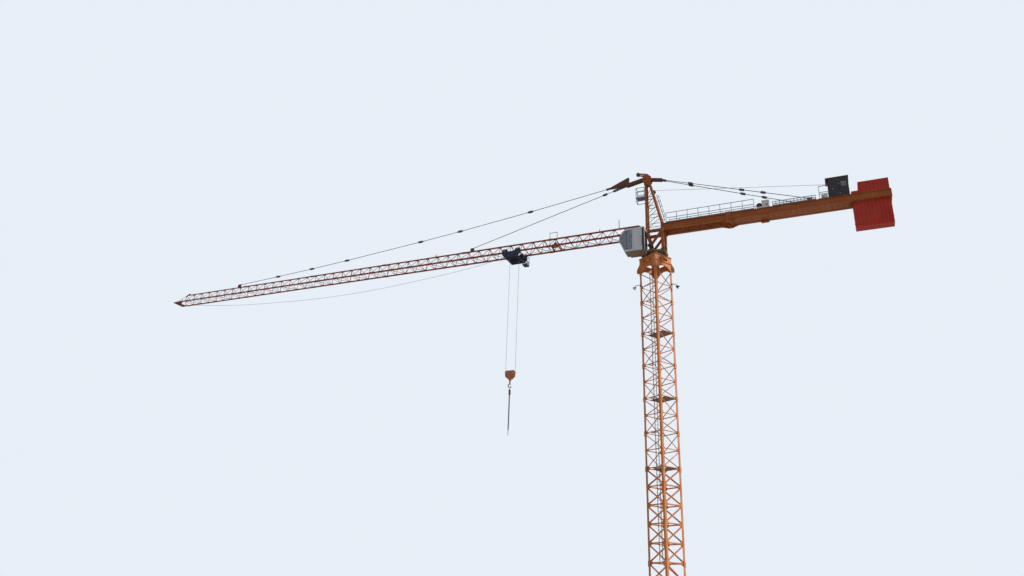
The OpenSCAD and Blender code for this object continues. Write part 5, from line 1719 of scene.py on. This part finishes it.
@dataclass
class WinchHouse(Assembly):
    """Corrugated house of the hoist winch with its roof, doors and rope outlet."""

    x: float = -1.560
    length: float = 0.166
    height: float = 0.190
    half: float = GIRDER_Y
    wave: float = 0.0007
    wave_step: float = 0.0045
    overhang: float = 0.006
    outlet_drop: float = 0.025

    def wall(self) -> list[tuple[float, float]]:
        """Corrugated outline of the walls, inside the house's size."""
        corners = [(self.x, -self.half), (self.x, self.half), (self.x - self.length, self.half),
                   (self.x - self.length, -self.half)]
        line: list[tuple[float, float]] = []
        for a, b in zip(corners, corners[1:] + corners[:1]):
            along = Vector((b[0] - a[0], b[1] - a[1]))
            inward = Vector((-along.y, along.x)).normalized()
            count = 2 * int(along.length / self.wave_step / 2)
            for k in range(count):
                shift = self.wave * (1 + (1 if k // 2 % 2 else -1)) if 0 < k else 0
                spot = Vector(a) + along * k / count + inward * shift
                line.append((spot.x, spot.y))
        return line

    def build(self) -> None:
        """Build the house and the unit box beside it."""
        house = Mesh()
        self.walls(house)
        self.doors(house)
        self.outlet(house)
        piece = self.finish(house, "winch_house_walls_and_roof", Body.UPPER, "dark_paint", bevel=0.0002)
        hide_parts("winch_house")
        self.unit()

    def walls(self, house: Mesh) -> None:
        """Add the walls with their corner posts and the ribbed roof."""
        top = DECK_Z + self.height
        house.finish = "house_paint"
        house.plate(self.wall(), Axis.Z, DECK_Z + 0.0002, top)
        for y in (0.002 - self.half, self.half - 0.002):
            for x in (self.x - 0.002, self.x - self.length + 0.002):
                house.block((x, y, DECK_Z + self.height / 2), (0.004, 0.004, self.height))
        house.finish = "brown_paint"
        edge = self.half + self.overhang
        house.box((self.x - self.length - self.overhang, -edge, top), (self.x + 0.018, edge, top + 0.003))
        for k in range(24):
            house.across((self.x + 0.014 - 0.0078 * k, 0, top + 0.0035), edge - 0.0005, 0.0026, 8)

    def doors(self, house: Mesh) -> None:
        """Add door leaves, handles, hinges and louvres on both sides."""
        house.finish = "house_paint"
        for side in SIDES:
            house.leaf(side * (self.half - 0.001), side * 0.002,
                       (self.x - 0.090, DECK_Z + 0.012), (self.x - 0.030, DECK_Z + 0.150))
        house.finish = "galvanised"
        for side in SIDES:
            y = side * (self.half + 0.003)
            handle, hinge, inner = self.x - 0.036, self.x - 0.090, y - side * 0.0012
            house.rod((handle, y, DECK_Z + 0.072), (handle, y, DECK_Z + 0.088), 0.0014, 8)
            for z in (DECK_Z + 0.030, DECK_Z + 0.130):
                house.rod((hinge, inner, z - 0.006), (hinge, inner, z + 0.006), 0.0016, 8)
            slat, z = y - side * 0.0015, DECK_Z + 0.100
            house.louvres((self.x - 0.150, slat, z), (self.x - 0.105, slat, z), 9, 0.005, (0.0016, 0.0012))

    def outlet(self, house: Mesh) -> None:
        """Add the rope's outlet with its frame."""
        house.finish = "black_rubber"
        face, z = self.x + 0.0006, DECK_Z + self.height - self.outlet_drop
        house.box((self.x - 0.002, -0.013, z - 0.014), (face, 0.013, z + 0.018))
        house.finish = "galvanised"
        low, high = z - 0.015, z + 0.019
        for y in (-0.014, 0.014):
            house.strip((face, y, low), (face, y, high), 0.002, 0.0016, up=(0, 1, 0))
        for level in (low, high):
            house.strip((face, -0.015, level), (face, 0.015, level), 0.0016, 0.002)

    def unit(self) -> None:
        """Build the pale unit box on the winch platform, with its lid, door and louvres."""
        box = Mesh(finish="white_paint")
        x0, y0, z0 = self.x + 0.012, 0.016, DECK_Z + 0.0052
        x1, y1, z1 = x0 + 0.050, y0 + 0.046, z0 + 0.038
        box.box((x0, y0, z0), (x1, y1, z1))
        box.box((x0 - 0.001, y0 - 0.001, z1), (x1 + 0.001, y1 + 0.001, z1 + 0.002))
        box.box((x0 + 0.004, y1, z0 + 0.004), (x1 - 0.020, y1 + 0.0010, z1 - 0.004))
        box.finish = "dark_paint"
        slat, z = y1 + 0.0004, z0 + 0.008
        box.louvres((x1 - 0.015, slat, z), (x1 - 0.004, slat, z), 6, 0.0036, (0.0012, 0.0012))
        box.rod((x1 - 0.023, y1 + 0.0016, z0 + 0.015), (x1 - 0.023, y1 + 0.0016, z0 + 0.024), 0.0009, 8)
        self.finish(box, "winch_unit_box", Body.UPPER, "white_paint", bevel=0.0004)


@dataclass
class Counterweights(Assembly):
    """Slabs that hang on the girders by their shoulders."""

    start: float = -1.734
    pitch: float = 0.030
    gap: float = 0.0008
    slabs: int = 10
    short_slabs: int = 2
    short_top: float = 0.084
    tall_top: float = 0.165
    low: float = -0.243
    seat: float = 0.0603
    shoulder: float = 0.077
    neck: float = 0.050
    loop_y: float = 0.045
    loop: tuple[tuple[float, float], ...] = ((-0.007, -0.004), (-0.007, 0.005), (-0.004, 0.009),
                                             (0.004, 0.009), (0.007, 0.005), (0.007, -0.004))
    rod_y: float = 0.036
    rod_levels: tuple[float, float] = (-0.180, 0.010)

    def build(self) -> None:
        """Build the slabs, their lifting loops and the tie rods through them."""
        slabs = Mesh(finish="red_paint")
        loops = Mesh(finish="dark_steel")
        for k in range(self.slabs):
            top = self.short_top if k < self.short_slabs else self.tall_top
            x = self.start - self.pitch * (k + 1)
            outline = [(-self.neck, self.low), (self.neck, self.low), (self.neck, self.seat),
                       (self.shoulder, self.seat), (self.shoulder, top), (-self.shoulder, top),
                       (-self.shoulder, self.seat), (-self.neck, self.seat)]
            slabs.plate([(y, JIB_Z + z) for y, z in outline], Axis.X, x, x + self.pitch - self.gap)
            middle = x + self.pitch / 2
            for y in (-self.loop_y, self.loop_y):
                loops.tube([(middle, y + dy, JIB_Z + top + dz) for dy, dz in self.loop], 0.0013, 8)
        last = self.start - self.pitch * self.slabs
        for y in (-self.rod_y, self.rod_y):
            for z in (JIB_Z + level for level in self.rod_levels):
                loops.rod((last - 0.0015, y, z), (self.start + 0.003, y, z), 0.0022, 10)
                for x, way in ((last, -1), (self.start - 0.0015, 1)):
                    loops.bolt((x, y, z), (way, 0, 0), 0.0064)
        piece = self.finish(slabs, "counterweight_slabs", Body.UPPER, "red_paint", bevel=0.0007)
        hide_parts("counterweights")
        self.finish(loops, "counterweight_loops_and_rods", Body.UPPER, "dark_steel")


@dataclass
class Trolley(Assembly):
    """Trolley with its wheels, sheaves, maintenance basket and the ropes that pull it."""

    side_y: float = 0.093
    axle_x: float = 0.070
    wheel_z: float = JIB_Z + 0.0118
    basket: tuple[float, float] = (-0.1503, -0.1003)
    basket_y: float = 0.032
    basket_z: tuple[float, float] = (-0.147, -0.051)
    mesh_top: float = 0.046
    wire_r: float = 0.0004
    ribs: tuple[tuple[tuple[float, float], tuple[float, float]], ...] = (
        ((-0.100, -0.030), (-0.072, -0.066)), ((-0.072, -0.066), (0.072, -0.066)),
        ((0.072, -0.066), (0.100, -0.030)), ((-0.072, -0.064), (-0.036, -0.004)),
        ((0.072, -0.064), (0.036, -0.004)),
    )
    rope_end: float = 0.098

    def build(self) -> None:
        """Build axle caps, side ribs and bolts, and the basket's floor and wire panels."""
        mesh = Mesh(finish="navy_paint")
        axles = (TROLLEY_X - self.axle_x, TROLLEY_X + self.axle_x)
        for side in SIDES:
            face = side * (self.side_y + 0.002)
            for x in axles:
                mesh.disc((x, face + side * 0.0010, self.wheel_z), Axis.Y, 0.0085, 0.0030, 28)
            for (xa, za), (xb, zb) in self.ribs:
                start, end = (TROLLEY_X + xa, face, JIB_Z + za), (TROLLEY_X + xb, face, JIB_Z + zb)
                mesh.strip(start, end, 0.005, 0.0030)
        mesh.finish = "galvanised"
        for side in SIDES:
            face, outward = side * (self.side_y + 0.002), (0, side, 0)
            for x in axles:
                mesh.bolt((x, side * (self.side_y + 0.0046), self.wheel_z), outward, 0.0058)
                for spot in ring((x, face, self.wheel_z), Axis.Y, 0.0125, 4, 45):
                    mesh.bolt(spot, outward, 0.0026)
            for dx in (-0.067, 0.067):
                for dz in (-0.062, -0.026):
                    mesh.bolt((TROLLEY_X + dx, face, JIB_Z + dz), outward, 0.0034)
        self.finish(mesh, "trolley_caps_and_ribs", Body.TROLLEY, "navy_paint", bevel=0.0003)
        self.basket_panels()

    def basket_panels(self) -> None:
        """Build the basket's grating, wire mesh, kick-boards and top rail."""
        grid = Mesh(finish="dark_steel")
        x0, x1 = (TROLLEY_X + x for x in self.basket)
        z0, z1 = (JIB_Z + z for z in self.basket_z)
        half = self.basket_y
        low, high, board_z = z0 + 0.003, z0 + self.mesh_top, z0 + 0.007
        for x in spread(x0 + 0.002, x1 - 0.002, 12):
            grid.strip((x, -half + 0.002, z0 + 0.0034), (x, half - 0.002, z0 + 0.0034), 0.0006, 0.0016)
        for side in SIDES:
            y = side * (half - 0.0015)
            for x in spread(x0 + 0.003, x1 - 0.003, 10):
                grid.rod((x, y, low), (x, y, high), self.wire_r, 4)
            for k in range(8):
                z = z0 + 0.006 + 0.0055 * k
                grid.rod((x0 + 0.002, y, z), (x1 - 0.002, y, z), self.wire_r, 4)
            y = side * (half - 0.0002)
            grid.strip((x0, y, board_z), (x1, y, board_z), 0.0008, 0.010)
        end = x0 + 0.0015
        for y in spread(0.003 - half, half - 0.003, 14):
            grid.rod((end, y, low), (end, y, high), self.wire_r, 4)
        grid.strip((x0 + 0.0004, -half, board_z), (x0 + 0.0004, half, board_z), 0.0008, 0.010)
        grid.across((end, 0, z1 - 0.0015), half - 0.001, 0.0021, 10)
        self.finish(grid, "basket_grating_and_mesh", Body.TROLLEY, "galvanised")

    def dress(self) -> None:
        """Coat the nodes and add the two ropes that pull the trolley."""
        self.coat("navy_paint", "trolley_frame", "trolley_basket")
        self.coat("bright_steel", "trolley_wheels_in", "trolley_wheels_out")
        self.coat("dark_steel", "trolley_sheave_in", "trolley_sheave_out", "head_sheave", "root_sheave")
        inner = (TROLLEY_WINCH_X + 0.060, TROLLEY_X - self.rope_end)
        outer = (TIP_PULLEY_X, TROLLEY_X + self.rope_end)
        for word, (start, end), y, rise, steps in (("inner", inner, 0.020, 0.010, 16),
                                                   ("outer", outer, 0.012, 0.020, 32)):
            z = PULL_ROPE_Z
            pull = Mesh(finish="steel_rope")
            pull.tube([(x, y, z + rise * (1 - k / steps)) for k, x in enumerate(spread(start, end, steps))],
                      PULL_ROPE_R, 6)
            piece = self.finish(pull, "trolley_rope_" + word, None, "steel_rope")
            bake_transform(piece)


@dataclass
class HookBlock(Assembly):
    """Hook block, its sheaves and the swivel hook with its latch."""

    cheek_y: float = 0.0125
    cheek: tuple[tuple[float, float], ...] = (
        (-0.052, -0.018), (-0.040, 0.0), (0.040, 0.0), (0.052, -0.018), (0.046, -0.060), (0.018, -0.086),
        (-0.018, -0.086), (-0.046, -0.060),
    )
    rim: tuple[float, float] = (0.94, 0.95)
    collar_drop: float = 0.0863
    collar: tuple[tuple[float, float], ...] = ((0.0120, -0.0128), (0.0128, -0.0120), (0.0128, -0.0014),
                                               (0.0118, -0.0002))
    latch: tuple[tuple[float, float], ...] = ((-0.0075, 0.012), (-0.0110, 0.010), (-0.0135, 0.001),
                                              (-0.0110, 0.000), (-0.0085, 0.004), (-0.0050, 0.016))

    def build(self) -> None:
        """Build the rims of the cheeks, the axle plates and bolts, and the hook's latch and collar."""
        rim = Mesh(finish="block_paint")
        axles = (TROLLEY_X - BLOCK_SHEAVE_X, TROLLEY_X + BLOCK_SHEAVE_X)
        along, up = self.rim
        shrunk = [(TROLLEY_X + x * along, BLOCK_TOP + z * up - 0.002) for x, z in self.cheek]
        for side in SIDES:
            face = side * (self.cheek_y + 0.0004)
            rim.tube([(x, face, z) for x, z in shrunk], 0.0016, 8, loop=True)
            for x in axles:
                rim.disc((x, face + side * 0.0006, BLOCK_AXLE_Z), Axis.Y, 0.0095, 0.0022, 28)
            rim.block((TROLLEY_X, face + side * 0.0004, BLOCK_TOP - 0.052), (0.030, 0.0014, 0.010))
        rim.finish = "galvanised"
        for side in SIDES:
            face, outward = side * self.cheek_y, (0, side, 0)
            for x in axles:
                rim.bolt((x, side * (self.cheek_y + 0.0022), BLOCK_AXLE_Z), outward, 0.0060)
                for spot in ring((x, face, BLOCK_AXLE_Z), Axis.Y, 0.0125, 4, 45):
                    rim.bolt(spot, outward, 0.0024)
            for dx in (-0.008, 0.008):
                for dz in (-0.068, -0.080):
                    rim.bolt((TROLLEY_X + dx, face, BLOCK_TOP + dz), outward, 0.0038)
        self.finish(rim, "block_rims_and_bolts", Body.BLOCK, "red_paint", bevel=0.0002)
        hook = Mesh(finish="block_paint")
        hook.lathe((TROLLEY_X, 0, BLOCK_TOP - self.collar_drop), Axis.Z, self.collar, 6)
        hook.finish = "bright_steel"
        hook.plate([(TROLLEY_X + x, HOOK_Z + z) for x, z in self.latch], Axis.Y, -0.0018, 0.0018)
        hook.across((TROLLEY_X - 0.006, 0, HOOK_Z + 0.0155), 0.0055, 0.0014, 10)
        self.finish(hook, "hook_latch_and_collar", Body.HOOK, "dark_steel", bevel=0.0002)

    def dress(self) -> None:
        """Coat the nodes."""
        self.coat("block_paint", "block_frame", "swivel_hook")
        self.coat("dark_steel", "block_sheave_in", "block_sheave_out")


def main() -> None:
    """Build and dress the crane."""
    logging.basicConfig(level=logging.INFO, format="%(name)s: %(message)s")
    palette = Palette()
    Studio().build()
    kinds = (Ropes, Sling, Foundation, Mast, Floodlights, SlewingGear, SlewingTower, Cathead, Cab, Jib, Ties,
             CounterJib, Cabinet, WinchHouse, Counterweights, Trolley, HookBlock)
    for kind in kinds:
        assembly = kind(palette)
        assembly.build()
        assembly.dress()
        LOG.info("%s: %d pieces", kind.__name__, assembly.count)


if __name__ == "__main__":
    main()
